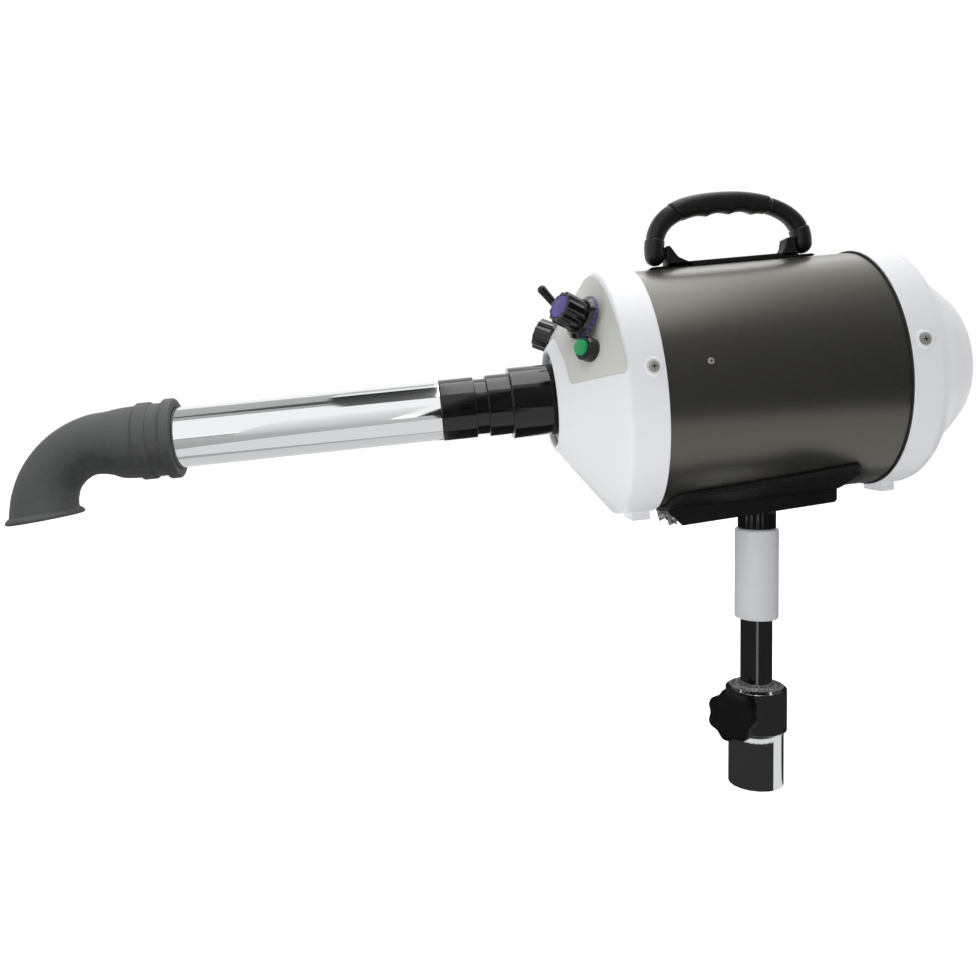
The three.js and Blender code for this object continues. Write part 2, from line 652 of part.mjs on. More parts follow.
// ---------------------------------------------------------------- cradle under the drum
function buildCradle() {
  const front = { x: -82.7, half: 31 };
  const back = { x: 64, half: 41.5 };
  const reach = 6; // rounding of the flange's ends
  const saddleR = shellR + FIT;
  const rings = [];
  const steps = 10;
  for (const s of [0, 0.012, 0.042, 0.35, 0.65, 0.958, 0.988, 1]) {
    const x = front.x + (back.x - front.x) * s;
    const toEnd = Math.min(s, 1 - s) * (back.x - front.x);
    const trim = toEnd < reach ? reach - Math.sqrt(reach ** 2 - (reach - toEnd) ** 2) : 0;
    const half = front.half + (back.half - front.half) * s - trim / (DRUM_R * DEG);
    const outer = [];
    const inner = [];
    for (let i = 0; i <= steps; i++) {
      const turn = -90 - half + (2 * half * i) / steps;
      const lip = i <= 1 || i >= steps - 1 ? 1.2 : 0;
      outer.push(around(x, saddleR + 3 + lip, turn));
      inner.push(around(x, saddleR, turn));
    }
    rings.push([...outer, ...inner.reverse()]);
  }
  const skirtOutline = [
    [-80.5, 2],
    [-80.5, -2],
    [-70, -15.6],
    [55, -11.2],
    [59.4, -9.6],
    [61.4, -6],
    [62, 3],
  ].map(([x, up]) => [x, up - DRUM_R]);
  const saddle = loft(rings);
  const under = ringX(saddleR + 0.4, 0.001, -90, 70, 64);
  const skirts = [-18.5, 16].map((y) => cut(slab(skirtOutline, y, y + 2.5), under));
  const window = block(-22, 22, -16, 16, -DRUM_R - 5.5, -DRUM_R + 5);
  const hole = rod(V(0, -25, pinZ), V(0, 25, pinZ), PIN_R + FIT);
  add(dryer, "cradle_rail", cut(join(saddle, ...skirts), window, hole), materials.matteBlack);

  // Steel channel inside the rail, slotted over the tongue, and the pin through both.
  const leg = 1.5;
  const half = 16 - FIT;
  const roof = -saddleR - 3 - FIT - 0.2;
  const legEnd = -DRUM_R - 11;
  const channel = cut(
    block(-76, 54, -half, half, legEnd, roof),
    block(-80, 60, -half + leg, half - leg, legEnd - 5, roof - leg),
    block(-12, 12, -half + leg, half - leg, legEnd - 5, roof + 5),
    hole,
  );
  add(dryer, "rail_insert", channel, materials.steel);
  add(
    dryer,
    "tilt_pin",
    rod(V(0, -18.4, pinZ), V(0, 18.4, pinZ), PIN_R),
    materials.steel,
  );
}

// ---------------------------------------------------------------- handle
function buildHandle() {
  const left = HANDLE_MID - HANDLE_HALF;
  const right = HANDLE_MID + HANDLE_HALF;
  const plateBottom = DRUM_R + 2 * FIT;
  const plateTop = plateBottom + 4;
  const lugLeft = left + CAP_WIDE + FIT;
  const lugRight = right - CAP_WIDE - FIT;
  const lugTop = HANDLE_PIVOT_Z + 7;
  const base = slab(
    [
      [left, plateBottom],
      [right, plateBottom],
      [right - 5, plateBottom + 1.6],
      [lugRight, plateBottom + 2],
      [lugRight, lugTop],
      [lugRight - LUG_WIDE + 3, lugTop],
      [lugRight - LUG_WIDE, lugTop - 8],
      [lugRight - LUG_WIDE - 2.5, plateTop + 1.2],
      [lugRight - LUG_WIDE - 6, plateTop],
      [lugLeft + LUG_WIDE + 7, plateTop],
      [lugLeft + LUG_WIDE, plateTop + 2.4],
      [lugLeft + 10, lugTop - 6],
      [lugLeft + 6, lugTop],
      [lugLeft, lugTop],
      [lugLeft, plateBottom + 2],
      [left + 5, plateBottom + 1.6],
    ],
    -BASE_HALF,
    BASE_HALF,
  );
  const holes = [-1, 1].map((side) => {
    const x = side < 0 ? left : right;
    return rod(
      V(x - side * 3, 0, HANDLE_PIVOT_Z),
      V(x - side * (CAP_WIDE + LUG_WIDE + 8), 0, HANDLE_PIVOT_Z),
      3 + FIT,
      12,
    );
  });
  add(dryer, "handle_base", cut(base, ...holes), materials.matteBlack);

  // The grip is an arch: superellipse outlines outside and inside, with finger grooves inside.
  const power = (value, exponent) => Math.sign(value) * Math.abs(value) ** exponent;
  const arch = (angle, wide, high, exponent) => [
    HANDLE_MID - wide * power(Math.cos(angle), 2 / exponent),
    HANDLE_BASE_Z + high * power(Math.sin(angle), 2 / exponent),
  ];
  const rings = [];
  const ring = (centre, across, half, deep) => {
    const points = [];
    const sides = 10;
    for (let i = 0; i < sides; i++) {
      const t = (i / sides) * 2 * Math.PI;
      const u = power(Math.cos(t), 0.75) * half;
      const v = power(Math.sin(t), 0.75) * deep;
      points.push(V(centre[0] + across[0] * u, v, centre[1] + across[1] * u));
    }
    return points;
  };
  const capTop = HANDLE_PIVOT_Z + 10;
  const high = HANDLE_TOP - HANDLE_BASE_Z;
  const roundEnd = [-82, -58, -30, 0].map((turn) => [
    HANDLE_PIVOT_Z + CAP_TURN_R * Math.sin(turn * DEG),
    turn < -60 ? CAP_WIDE / 2 - 1 : CAP_WIDE / 2,
    CAP_TURN_R * Math.cos(turn * DEG),
  ]);
  const capRings = [
    ...roundEnd,
    [capTop, CAP_WIDE / 2, HANDLE_DEEP - 0.3],
    [capTop + 0.6, CAP_WIDE / 2 - 0.8, HANDLE_DEEP - 0.9],
  ];
  const leftX = left + CAP_WIDE / 2;
  for (const [z, half, deep] of capRings) rings.push(ring([leftX, z], [-1, 0], half, deep));
  const steps = 18;
  const first = 31 * DEG;
  for (let i = 0; i <= steps; i++) {
    const angle = first + ((Math.PI - 2 * first) * i) / steps;
    const outer = arch(angle, HANDLE_HALF - 0.4, high, 2.35);
    const inner = arch(angle, HANDLE_HALF - HANDLE_THICK + 1, high - HANDLE_THICK, 2.7);
    const along = (angle - 62 * DEG) / (62 * DEG); // 0 to 1 over the fingers
    const inGrip = along > 0 && along < 0.9032;
    const groove = inGrip ? 1.1 * (0.5 - 0.5 * Math.cos(2 * Math.PI * FINGERS * along * 1.107)) : 0;
    const gap = [outer[0] - inner[0], outer[1] - inner[1]];
    const length = Math.hypot(...gap);
    const across = [gap[0] / length, gap[1] / length];
    const low = [inner[0] + across[0] * groove, inner[1] + across[1] * groove];
    const centre = [(outer[0] + low[0]) / 2, (outer[1] + low[1]) / 2];
    const half = Math.hypot(outer[0] - low[0], outer[1] - low[1]) / 2;
    rings.push(ring(centre, across, half, HANDLE_DEEP - 0.6));
  }
  const rightX = right - CAP_WIDE / 2;
  for (const [z, half, deep] of capRings.reverse()) rings.push(ring([rightX, z], [1, 0], half, deep));
  add(dryer, "handle_grip", cut(loft(rings), ...holes), materials.matteBlack);
  for (const side of [-1, 1]) {
    const x = side < 0 ? left : right;
    const pin = rod(
      V(x - side * 3.4, 0, HANDLE_PIVOT_Z),
      V(x - side * (CAP_WIDE + LUG_WIDE - 3), 0, HANDLE_PIVOT_Z),
      3,
      12,
    );
    add(dryer, side < 0 ? "handle_pin_front" : "handle_pin_rear", pin, materials.steel);
  }
}

// ---------------------------------------------------------------- controls
function buildControls() {
  // Speed knob: a skirt with a scale, a fluted body and a coloured cap.
  const skirt = turnedZ([[2, 5], [SKIRT_R, 5], [SKIRT_R, 7.4], [KNOB_R + 1.2, 10.4], [2, 10.4]], INSIDE);
  const grip = lobed(KNOB_R, 1.1, 12, 19.2, 0.8, 3).translate(0, 0, 9.2);
  const shaft = rod(V(0, 0, -9), V(0, 0, 12), 3, 12);
  const capWell = rod(V(0, 0, 27), V(0, 0, 32), 8.8 + FIT);
  add(seats.SPEED, "speed_knob", cut(join(skirt, grip, shaft), capWell), materials.black);
  add(
    seats.SPEED,
    "speed_knob_cap",
    turnedZ([[0, 27 + FIT], [8.8, 27 + FIT], [8.8, 28.6], [7.8, 29.3], [0, 29.3]]),
    materials.purple,
  );
  // Heat knob: smaller, all black.
  const small = join(
    turnedZ([[2, 3.4], [HEAT_R + 1, 3.4], [HEAT_R + 1, 7.3], [2, 7.3]]),
    lobed(HEAT_R, 1.1, 12, 15, 0.8, 3).translate(0, 0, 6.4),
    rod(V(0, 0, -9), V(0, 0, 12), 3, 12),
  );
  add(seats.HEAT, "heat_knob", small, materials.black);
  // Potentiometers on the inside of the cover, each with its bush through the wall.
  for (const [place, name] of [["SPEED", "speed_control"], ["HEAT", "heat_control"]]) {
    const can = turnedZ([
      [3 + FIT, 2.8],
      [4.2 - FIT, 2.8],
      [4.2 - FIT, -WALL - 1.4],
      [8.5, -WALL - 1.4],
      [8.5, -13],
      [0, -13],
      [0, -9 - FIT],
      [3 + FIT, -9 - FIT],
    ], 16);
    add(seats[place], name, can, materials.steel);
  }
  // Push button: a black bezel with the green cap sliding in it.
  const bezel = turnedZ([
    [6 + FIT, 0.8],
    [6 + FIT, 9.7],
    [7.6, 9.7],
    [8.9, 8.3],
    [9.1, 1],
    [6.6 - FIT, 1],
    [6.6 - FIT, -12],
    [0, -12],
    [0, 0.8],
  ]);
  add(seats.BUTTON, "button_bezel", bezel, materials.black);
  const cap = turnedZ([[0, 3.6], [6, 3.6], [6, 12.6], [5, 13.5], [0, 13.9]]);
  add(seats.BUTTON, "ion_button", cap, materials.green);
  // Toggle switch: threaded bush, body inside, bat lever tilted to one side.
  const body = join(
    turnedZ([[0, -8], [6, -8], [6, 6], [5.2, 7], [0, 7]], 16),
    block(-7, 7, -6.5, 6.5, -19, -WALL - 1.8),
  );
  const mouth = new THREE.SphereGeometry(3.6, 10, 6);
  const socket = turnedZ([[0, 3], [2.8, 5], [4.6, 8], [0, 8]], 12);
  add(seats.TOGGLE, "toggle_body", cut(body, solid(mouth.translate(0, 0, 4)), socket), materials.steel);
  const lever = new THREE.Group();
  lever.position.set(0, 0, 4);
  lever.rotation.y = TOGGLE_TILT * DEG;
  seats.TOGGLE.add(lever);
  const bat = join(
    turnedZ([[0, 0], [1.9, 0], [2.4, 4], [3.4, 15], [3.9, 22], [3.4, 24.6], [1.8, 26.2], [0, 26.6]], 12),
    solid(new THREE.SphereGeometry(3.3, 10, 6)),
  );
  add(lever, "toggle_lever", bat, materials.black);
}

// ---------------------------------------------------------------- fan, motor and heater
function buildMachine() {
  const fanWall = 2;
  const eye = 24;
  const fan = turnedX([
    [eye, FAN_REAR],
    [eye, FAN_REAR - fanWall],
    [FAN_R - fanWall, FAN_REAR - fanWall],
    [FAN_R - fanWall, FAN_FRONT + fanWall],
    [30, FAN_FRONT + fanWall],
    [30, FAN_FRONT],
    [FAN_R, FAN_FRONT],
    [FAN_R, FAN_REAR],
  ], INSIDE);
  add(dryer, "fan_housing", fan, materials.steel);
  const motor = turnedX([
    [SHAFT_R + FIT, FAN_FRONT - FIT],
    [MOTOR_R, FAN_FRONT - FIT],
    [MOTOR_R, MOTOR_FRONT + 8],
    [MOTOR_R - 8, MOTOR_FRONT],
    [SHAFT_R + FIT, MOTOR_FRONT],
  ], INSIDE);
  add(dryer, "motor", motor, materials.steel);
  const shaft = turnedX([
    [0, MOTOR_FRONT - 6],
    [SHAFT_R, MOTOR_FRONT - 6],
    [SHAFT_R, FAN_REAR + 3],
    [0, FAN_REAR + 3],
  ], 20);
  add(dryer, "motor_shaft", shaft, materials.steel);

  // Backward-curved impeller: a back plate, a hub and blades along arcs.
  const plateX = FAN_FRONT + fanWall + 6;
  let wheel = join(
    ringX(FAN_R - fanWall - 5, SHAFT_R + FIT, plateX, plateX + 2.4, INSIDE),
    ringX(11, SHAFT_R + FIT, plateX + 2, FAN_REAR - 4, 16),
  );
  const bladeTop = FAN_REAR - fanWall - 5;
  for (let i = 0; i < BLADES; i++) {
    const outline = [];
    const back = [];
    for (let s = 0; s <= 3; s++) {
      const r = 10 + ((FAN_R - fanWall - 6 - 10) * s) / 3;
      const angle = (i * 2 * Math.PI) / BLADES - 0.9 * (s / 3) ** 0.8;
      const edge = 0.8 / r;
      outline.push(new THREE.Vector2(r * Math.cos(angle + edge), r * Math.sin(angle + edge)));
      back.unshift(new THREE.Vector2(r * Math.cos(angle - edge), r * Math.sin(angle - edge)));
    }
    const blade = new THREE.ExtrudeGeometry(new THREE.Shape([...outline, ...back]), {
      depth: bladeTop - plateX - 1,
      bevelEnabled: false,
    });
    wheel = join(wheel, solid(blade.rotateY(Math.PI / 2).translate(plateX + 1, 0, 0)));
  }
  add(dryer, "impeller", wheel, materials.steel);

  // Rubber rings carry the fan and the motor in the drum.
  const drumBore = DRUM_R - DRUM_WALL - 2 * FIT;
  const rear = turnedX([
    [FAN_R + FIT, 36],
    [FAN_R + FIT, 60],
    [FAN_R + 5, 60],
    [FAN_R + 5, 51],
    [drumBore, 51],
    [drumBore, 45],
    [FAN_R + 5, 45],
    [FAN_R + 5, 36],
  ], INSIDE);
  add(dryer, "fan_mount_ring", rear, materials.rubber);
  const frontX = -34;
  let mount = ringX(drumBore, MOTOR_R + FIT, frontX, frontX + 8);
  const ports = 6;
  for (let i = 0; i < ports; i++) {
    const port = block(frontX - 2, frontX + 10, -14, 14, MOTOR_R + 8, drumBore - 10);
    mount = cut(mount, port.rotate([((i + 0.5) * 360) / ports, 0, 0]));
  }
  add(dryer, "motor_mount", mount, materials.rubber);

  // Air cone from the drum to the outlet, with the heater in its neck.
  const mouthR = SLEEVE_BIG_R + FIT;
  const coneStart = frontX - FIT;
  const neckX = OUTLET_FACE + 18;
  const duct = turnedX([
    [drumBore, coneStart],
    [drumBore, coneStart - 8],
    [30, -108],
    [30, neckX],
    [27, neckX],
    [27, -109.2],
    [drumBore - 4, coneStart - 9],
    [drumBore - 4, coneStart],
  ], INSIDE);
  add(dryer, "air_cone", duct, materials.black);
  const ring = turnedX([
    [mouthR, OUTLET_FACE],
    [RING_R, OUTLET_FACE],
    [RING_R, OUTLET_FACE + 17.6],
    [mouthR - 1, OUTLET_FACE + 17.6],
    [mouthR - 1, SLEEVE_BIG_END + FIT],
    [mouthR, SLEEVE_BIG_END + FIT],
  ], INSIDE);
  add(dryer, "outlet_ring", ring, materials.grey);

  // Heater: a cross of mica plates with wider ends, and the resistance wire wound round it.
  const heaterR = 27 - FIT;
  const plateHalf = 0.6;
  const cross = (x0, x1, reach) =>
    join(
      block(x0, x1, -reach, reach, -plateHalf, plateHalf),
      block(x0, x1, -plateHalf, plateHalf, -reach, reach),
    );
  const frame = join(cross(-138, -135.8, heaterR), cross(-136, -112, 14.6), cross(-112.2, -110, heaterR));
  add(dryer, "heater_frame", frame.intersect(ringX(heaterR, 0.001, -139, -109, INSIDE)), materials.mica);
  const coilTurns = 4;
  const perTurn = 8;
  const coil = [];
  for (let i = 0; i <= coilTurns * perTurn; i++) {
    const angle = (i / perTurn) * 2 * Math.PI;
    coil.push(V(-133.6 + (19.2 * i) / (coilTurns * perTurn), 17 * Math.cos(angle), 17 * Math.sin(angle)));
  }
  const wire = new THREE.ExtrudeGeometry(
    new THREE.Shape([[1.1, 0], [0, 1.1], [-1.1, 0], [0, -1.1]].map(([x, y]) => new THREE.Vector2(x, y))),
    { steps: coilTurns * perTurn, extrudePath: new THREE.CatmullRomCurve3(coil), bevelEnabled: false },
  );
  add(dryer, "heater_coil", solid(wire), materials.copper);
  const cutout = rod(V(-109.7, 0, 0), V(-105, 0, 0), 6);
  add(dryer, "thermal_cutout", cutout, materials.steel);

  // Electronics stand on the front motor mount.
  const board = block(frontX - 2, frontX - FIT, -24, 24, drumBore - 27, drumBore - 9);
  add(dryer, "control_board", board, materials.board);
  const ioniser = block(frontX - 12, frontX - FIT, -14, 14, 12 - drumBore, 28 - drumBore);
  add(dryer, "ion_module", ioniser, materials.matteBlack);
}

// ---------------------------------------------------------------- nozzle
function buildNozzle() {
  const bore = 19.5;
  // Coupling sleeve: stepped, with grip flutes on its large end.
  let sleeve = turnedX([
    [bore, SLEEVE_BIG_FRONT + 4],
    [NECK_R - 1 + FIT, SLEEVE_BIG_FRONT + 4],
    [NECK_R - 1 + FIT, STEP_RING_FRONT],
    [STEP_RING_R - 0.6, STEP_RING_FRONT],
    [STEP_RING_R, STEP_RING_FRONT + 0.8],
    [STEP_RING_R, SLEEVE_BIG_FRONT],
    [SLEEVE_BIG_R - 0.8, SLEEVE_BIG_FRONT],
    [SLEEVE_BIG_R, SLEEVE_BIG_FRONT + 1],
    [SLEEVE_BIG_R, SLEEVE_BIG_END],
    [25, SLEEVE_BIG_END],
    [25, SLEEVE_BIG_FRONT + 10],
    [bore, SLEEVE_BIG_FRONT + 7],
  ], INSIDE);
  const flutes = 10;
  for (let i = 0; i < flutes; i++) {
    const flute = block(
      SLEEVE_BIG_FRONT + 5,
      OUTLET_FACE - 4,
      -0.9,
      0.9,
      SLEEVE_BIG_R - 0.8,
      SLEEVE_BIG_R + 2,
    );
    sleeve = cut(sleeve, flute.rotate([(i * 360) / flutes, 0, 0]));
  }
  add(dryer, "coupling_sleeve", sleeve, materials.black);

  const tubeBore = TUBE_R - TUBE_WALL;
  const collar = turnedX([
    [bore, TUBE_END - SPIGOT],
    [tubeBore - FIT, TUBE_END - SPIGOT],
    [tubeBore - FIT, TUBE_END + FIT],
    [COLLAR_RING_R - 0.4, TUBE_END + FIT],
    [COLLAR_RING_R, TUBE_END + FIT + 0.6],
    [COLLAR_RING_R, COLLAR_RING_BACK],
    [NECK_R, COLLAR_RING_BACK],
    [NECK_R, STEP_RING_FRONT - FIT],
    [NECK_R - 1, STEP_RING_FRONT - FIT],
    [NECK_R - 1, SLEEVE_BIG_FRONT + 4 - FIT],
    [bore, SLEEVE_BIG_FRONT + 4 - FIT],
  ], INSIDE);
  add(dryer, "tube_collar", collar, materials.black);
  add(dryer, "extension_tube", ringX(TUBE_R, tubeBore, TUBE_START, TUBE_END), materials.chrome);

  // Elbow: rings along a bent centre line, wider at the cuff and at the lip.
  const wall = 2.4;
  const sides = 16;
  const cuffBore = (TUBE_R + FIT) / Math.cos(Math.PI / sides);
  const cuffEnd = TUBE_START - FIT;
  const centreLine = [
    // x, z, outer radius, direction of the flow in degrees below -X
    [-492, 0.2, 26.6, 0],
    [-501, 1.1, 24.3, 2],
    [-511, 1.3, 23.2, 9],
    [-521.5, -1, 22.1, 22],
    [-531, -5.8, 21.7, 36],
    [-539.5, -12.8, 21.6, 50],
    [-546.6, -22, 22, 65],
    [-551.2, -33.2, 22.9, 79],
    [-552.8, -41, 23.6, 88],
    [-553.3, -45.5, 24.2, 94],
  ];
  const ringAt = ([x, z, r, fall]) => {
    const up = V(Math.sin(fall * DEG), 0, Math.cos(fall * DEG)).multiply(V(-1, 1, 1));
    return Array.from({ length: sides }, (_, i) => {
      const t = (i / sides) * 2 * Math.PI;
      return V(x, r * Math.sin(t), z).addScaledVector(up, r * Math.cos(t));
    });
  };
  const shift = ([x, z, r, fall], along, grow) => [
    x - along * Math.cos(fall * DEG),
    z - along * Math.sin(fall * DEG),
    r + grow,
    fall,
  ];
  const mouth = centreLine.at(-1);
  const outside = [
    [ELBOW_MOUTH, 0, 29.6, 0],
    [ELBOW_MOUTH - 1.2, 0, 30.6, 0],
    [ELBOW_MOUTH - 6.6, 0, 30.6, 0],
    [ELBOW_MOUTH - 8.2, 0, 28, 0],
    [-467, 0, 27.8, 0],
    [-469, 0, 29.3, 0],
    [-477, 0, 29.3, 0],
    [-479.4, 0, 27.6, 0],
    ...centreLine,
    shift(mouth, 1, 2.2),
    shift(mouth, 3.6, 3.2),
    shift(mouth, 4.8, 2.8),
  ];
  const inside = [
    [ELBOW_MOUTH + 1, 0, cuffBore, 0],
    [cuffEnd, 0, cuffBore, 0],
    [cuffEnd - 0.5, 0, cuffBore - 1.6, 0],
    ...centreLine.map((station) => shift(station, 0, -wall)),
    shift(mouth, 6, -wall + 1.2),
  ];
  add(
    dryer,
    "elbow_nozzle",
    cut(loft(outside.map(ringAt)), loft(inside.map(ringAt))),
    materials.rubber,
  );
}

buildStand();
buildLift();
buildCovers();
buildIntake();
buildCradle();
buildHandle();
buildControls();
buildMachine();
buildNozzle();

export default root;
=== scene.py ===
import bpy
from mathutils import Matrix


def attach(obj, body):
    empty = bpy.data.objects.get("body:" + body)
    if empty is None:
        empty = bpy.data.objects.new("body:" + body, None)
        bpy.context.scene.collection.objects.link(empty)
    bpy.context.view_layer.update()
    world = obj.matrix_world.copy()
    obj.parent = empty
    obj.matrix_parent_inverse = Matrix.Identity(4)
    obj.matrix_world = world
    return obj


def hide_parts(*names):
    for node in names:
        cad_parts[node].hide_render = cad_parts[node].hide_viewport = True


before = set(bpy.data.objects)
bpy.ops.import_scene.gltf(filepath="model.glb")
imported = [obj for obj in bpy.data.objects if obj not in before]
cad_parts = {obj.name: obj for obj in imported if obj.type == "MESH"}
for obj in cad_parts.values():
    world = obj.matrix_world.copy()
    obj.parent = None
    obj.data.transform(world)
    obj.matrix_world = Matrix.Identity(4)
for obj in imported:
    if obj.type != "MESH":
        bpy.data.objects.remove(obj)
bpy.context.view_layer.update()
from math import asin, atan, atan2, copysign, cos, dist, exp, pi, radians, remainder, sin, sqrt, tan

import bmesh
import bpy
from mathutils import Matrix, Vector

# ----------------------------------------
# The camera stands level with the dryer's nose, 0.74 m in front of the pole, as in the photograph.
# The picture was cropped off centre, which the lens shift repeats.
MM = 0.001
PICTURE = 977  # pixels on a side
SENSOR = 36.0  # mm
FOCAL_PX = 930.85
AXIS_PX = (524.12, 414.85)  # where the lens axis meets the picture
CAMERA_AT = (-277.98, -737.99, 306.05)
CAMERA_RIGHT = (0.993413, -0.114552, 0.003045)
CAMERA_UP = (-0.002422, 0.005585, 0.999981)
CAMERA_BACK = (-0.114567, -0.993402, 0.005271)
NEAREST = 0.01


def new_object(name, data):
    """An object in the scene that holds that data."""
    made = bpy.data.objects.new(name, data)
    bpy.context.collection.objects.link(made)
    return made


lens = bpy.data.cameras.new("camera")
lens.sensor_width = SENSOR
lens.lens = FOCAL_PX * SENSOR / PICTURE
lens.shift_x = (PICTURE / 2 - AXIS_PX[0]) / PICTURE
lens.shift_y = (AXIS_PX[1] - PICTURE / 2) / PICTURE
lens.clip_start = NEAREST
camera = new_object("camera", lens)
turn = Matrix([CAMERA_RIGHT, CAMERA_UP, CAMERA_BACK]).transposed().to_4x4()
camera.matrix_world = Matrix.Translation(Vector(CAMERA_AT) * MM) @ turn
bpy.context.scene.camera = camera
bpy.context.scene.view_settings.view_transform = "Standard"


# ----------------------------------------
# Studio: a pale floor, a white surround and four soft boxes. Cards that only reflections see give the
# chrome and the black gloss their bands, as a photographer's reflectors and black flags do.
def srgb(code):
    """The linear colour of a hex code such as #c8c9cd, with alpha 1."""
    channels = [int(code[i : i + 2], 16) / 255 for i in (1, 3, 5)]
    return [c / 12.92 if c <= 0.04045 else ((c + 0.055) / 1.055) ** 2.4 for c in channels] + [1.0]


def empty_tree(owner):
    """The node tree of a material or a world, with nothing in it."""
    owner.use_nodes = True
    owner.node_tree.nodes.clear()
    return owner.node_tree


def add_node(tree, kind, sockets=None, **settings):
    """A new node with its settings; each socket gets a value, or a link from another node's socket."""
    made = tree.nodes.new(kind)
    for setting, value in settings.items():
        setattr(made, setting, value)
    for socket, value in (sockets or {}).items():
        if isinstance(value, bpy.types.NodeSocket):
            tree.links.new(value, made.inputs[socket])
        else:
            made.inputs[socket].default_value = value
    return made


def looked_at(tree):
    """1 for what the camera sees, also mirrored or through glass, and 0 for light that falls on things."""
    ray = add_node(tree, "ShaderNodeLightPath").outputs
    seen = ray["Is Camera Ray"]
    for kind in ("Is Glossy Ray", "Is Transmission Ray"):
        seen = add_node(tree, "ShaderNodeMath", {0: seen, 1: ray[kind]}, operation="MAXIMUM").outputs[0]
    return seen


WHITE = srgb("#ffffff")
FLOOR_HALF = 6.0
FLOOR_GLOW = 0.85  # white that the floor gives off by itself, so that only its contact shadow shows
AMBIENT = 0.33

world = bpy.data.worlds.new("studio")
bpy.context.scene.world = world
tree = empty_tree(world)
white = add_node(tree, "ShaderNodeBackground", {"Color": WHITE, "Strength": 1.0})
ambient = add_node(tree, "ShaderNodeBackground", {"Color": srgb("#fafbff"), "Strength": AMBIENT})
mixed = add_node(
    tree, "ShaderNodeMixShader", {0: looked_at(tree), 1: ambient.outputs[0], 2: white.outputs[0]})
add_node(tree, "ShaderNodeOutputWorld", {"Surface": mixed.outputs[0]})

floor_paint = bpy.data.materials.new("floor_paper")
tree = empty_tree(floor_paint)
share = add_node(tree, "ShaderNodeMath", {0: looked_at(tree), 1: FLOOR_GLOW}, operation="MULTIPLY")
paper = add_node(tree, "ShaderNodeBsdfDiffuse", {"Color": srgb("#fafafa")})
glow = add_node(tree, "ShaderNodeEmission", {"Color": WHITE, "Strength": share.outputs[0]})
mixed = add_node(tree, "ShaderNodeAddShader", {0: paper.outputs[0], 1: glow.outputs[0]})
add_node(tree, "ShaderNodeOutputMaterial", {"Surface": mixed.outputs[0]})

sheet = bpy.data.meshes.new("floor")
corners = [(FLOOR_HALF * x, FLOOR_HALF * y, 0) for x, y in ((-1, -1), (1, -1), (1, 1), (-1, 1))]
sheet.from_pydata(corners, [], [(0, 1, 2, 3)])
sheet.materials.append(floor_paint)
floor = new_object("floor", sheet)

BODY_AT = (0, 0, 0.3)
NOSE_AT = (-0.1, -0.02, 0.28)
SOFT_BOXES = {
    # where it stands, what it faces, its size and its power in watts
    "key": ((-0.9, -1.5, 1.9), BODY_AT, 1.4, 14),
    "fill": ((1.4, -1.6, 0.8), BODY_AT, 1.4, 4.5),
    "top": ((0.0, 0.3, 2.0), BODY_AT, 1.2, 20),
    "low": ((-0.42, -0.3, 0.03), NOSE_AT, 0.25, 0.9),
}
for name, (at, aim, size, watts) in SOFT_BOXES.items():
    lamp = bpy.data.lights.new(name, "AREA")
    lamp.size = size
    lamp.energy = watts
    made = new_object(name, lamp)
    made.location = at
    made.rotation_euler = (Vector(aim) - Vector(at)).to_track_quat("-Z", "Y").to_euler()
    made.visible_glossy = False


def card(name, corners, tones):
    """A card through two rows of corners that only reflections see; each corner has its share of white."""
    paint = bpy.data.materials.new(name)
    tree = empty_tree(paint)
    tone = add_node(tree, "ShaderNodeAttribute", attribute_name="tone")
    shine = add_node(tree, "ShaderNodeEmission", {"Color": WHITE, "Strength": tone.outputs["Fac"]})
    add_node(tree, "ShaderNodeOutputMaterial", {"Surface": shine.outputs[0]})
    form = bpy.data.meshes.new(name)
    half = len(corners) // 2
    faces = [(i, i + 1, i + 1 + half, i + half) for i in range(half - 1)]
    form.from_pydata(corners, [], faces)
    form.attributes.new("tone", "FLOAT", "POINT").data.foreach_set("value", tones)
    form.materials.append(paint)
    made = new_object(name, form)
    made.visible_camera = False
    made.visible_diffuse = False
    made.visible_shadow = False
    made.visible_transmission = False


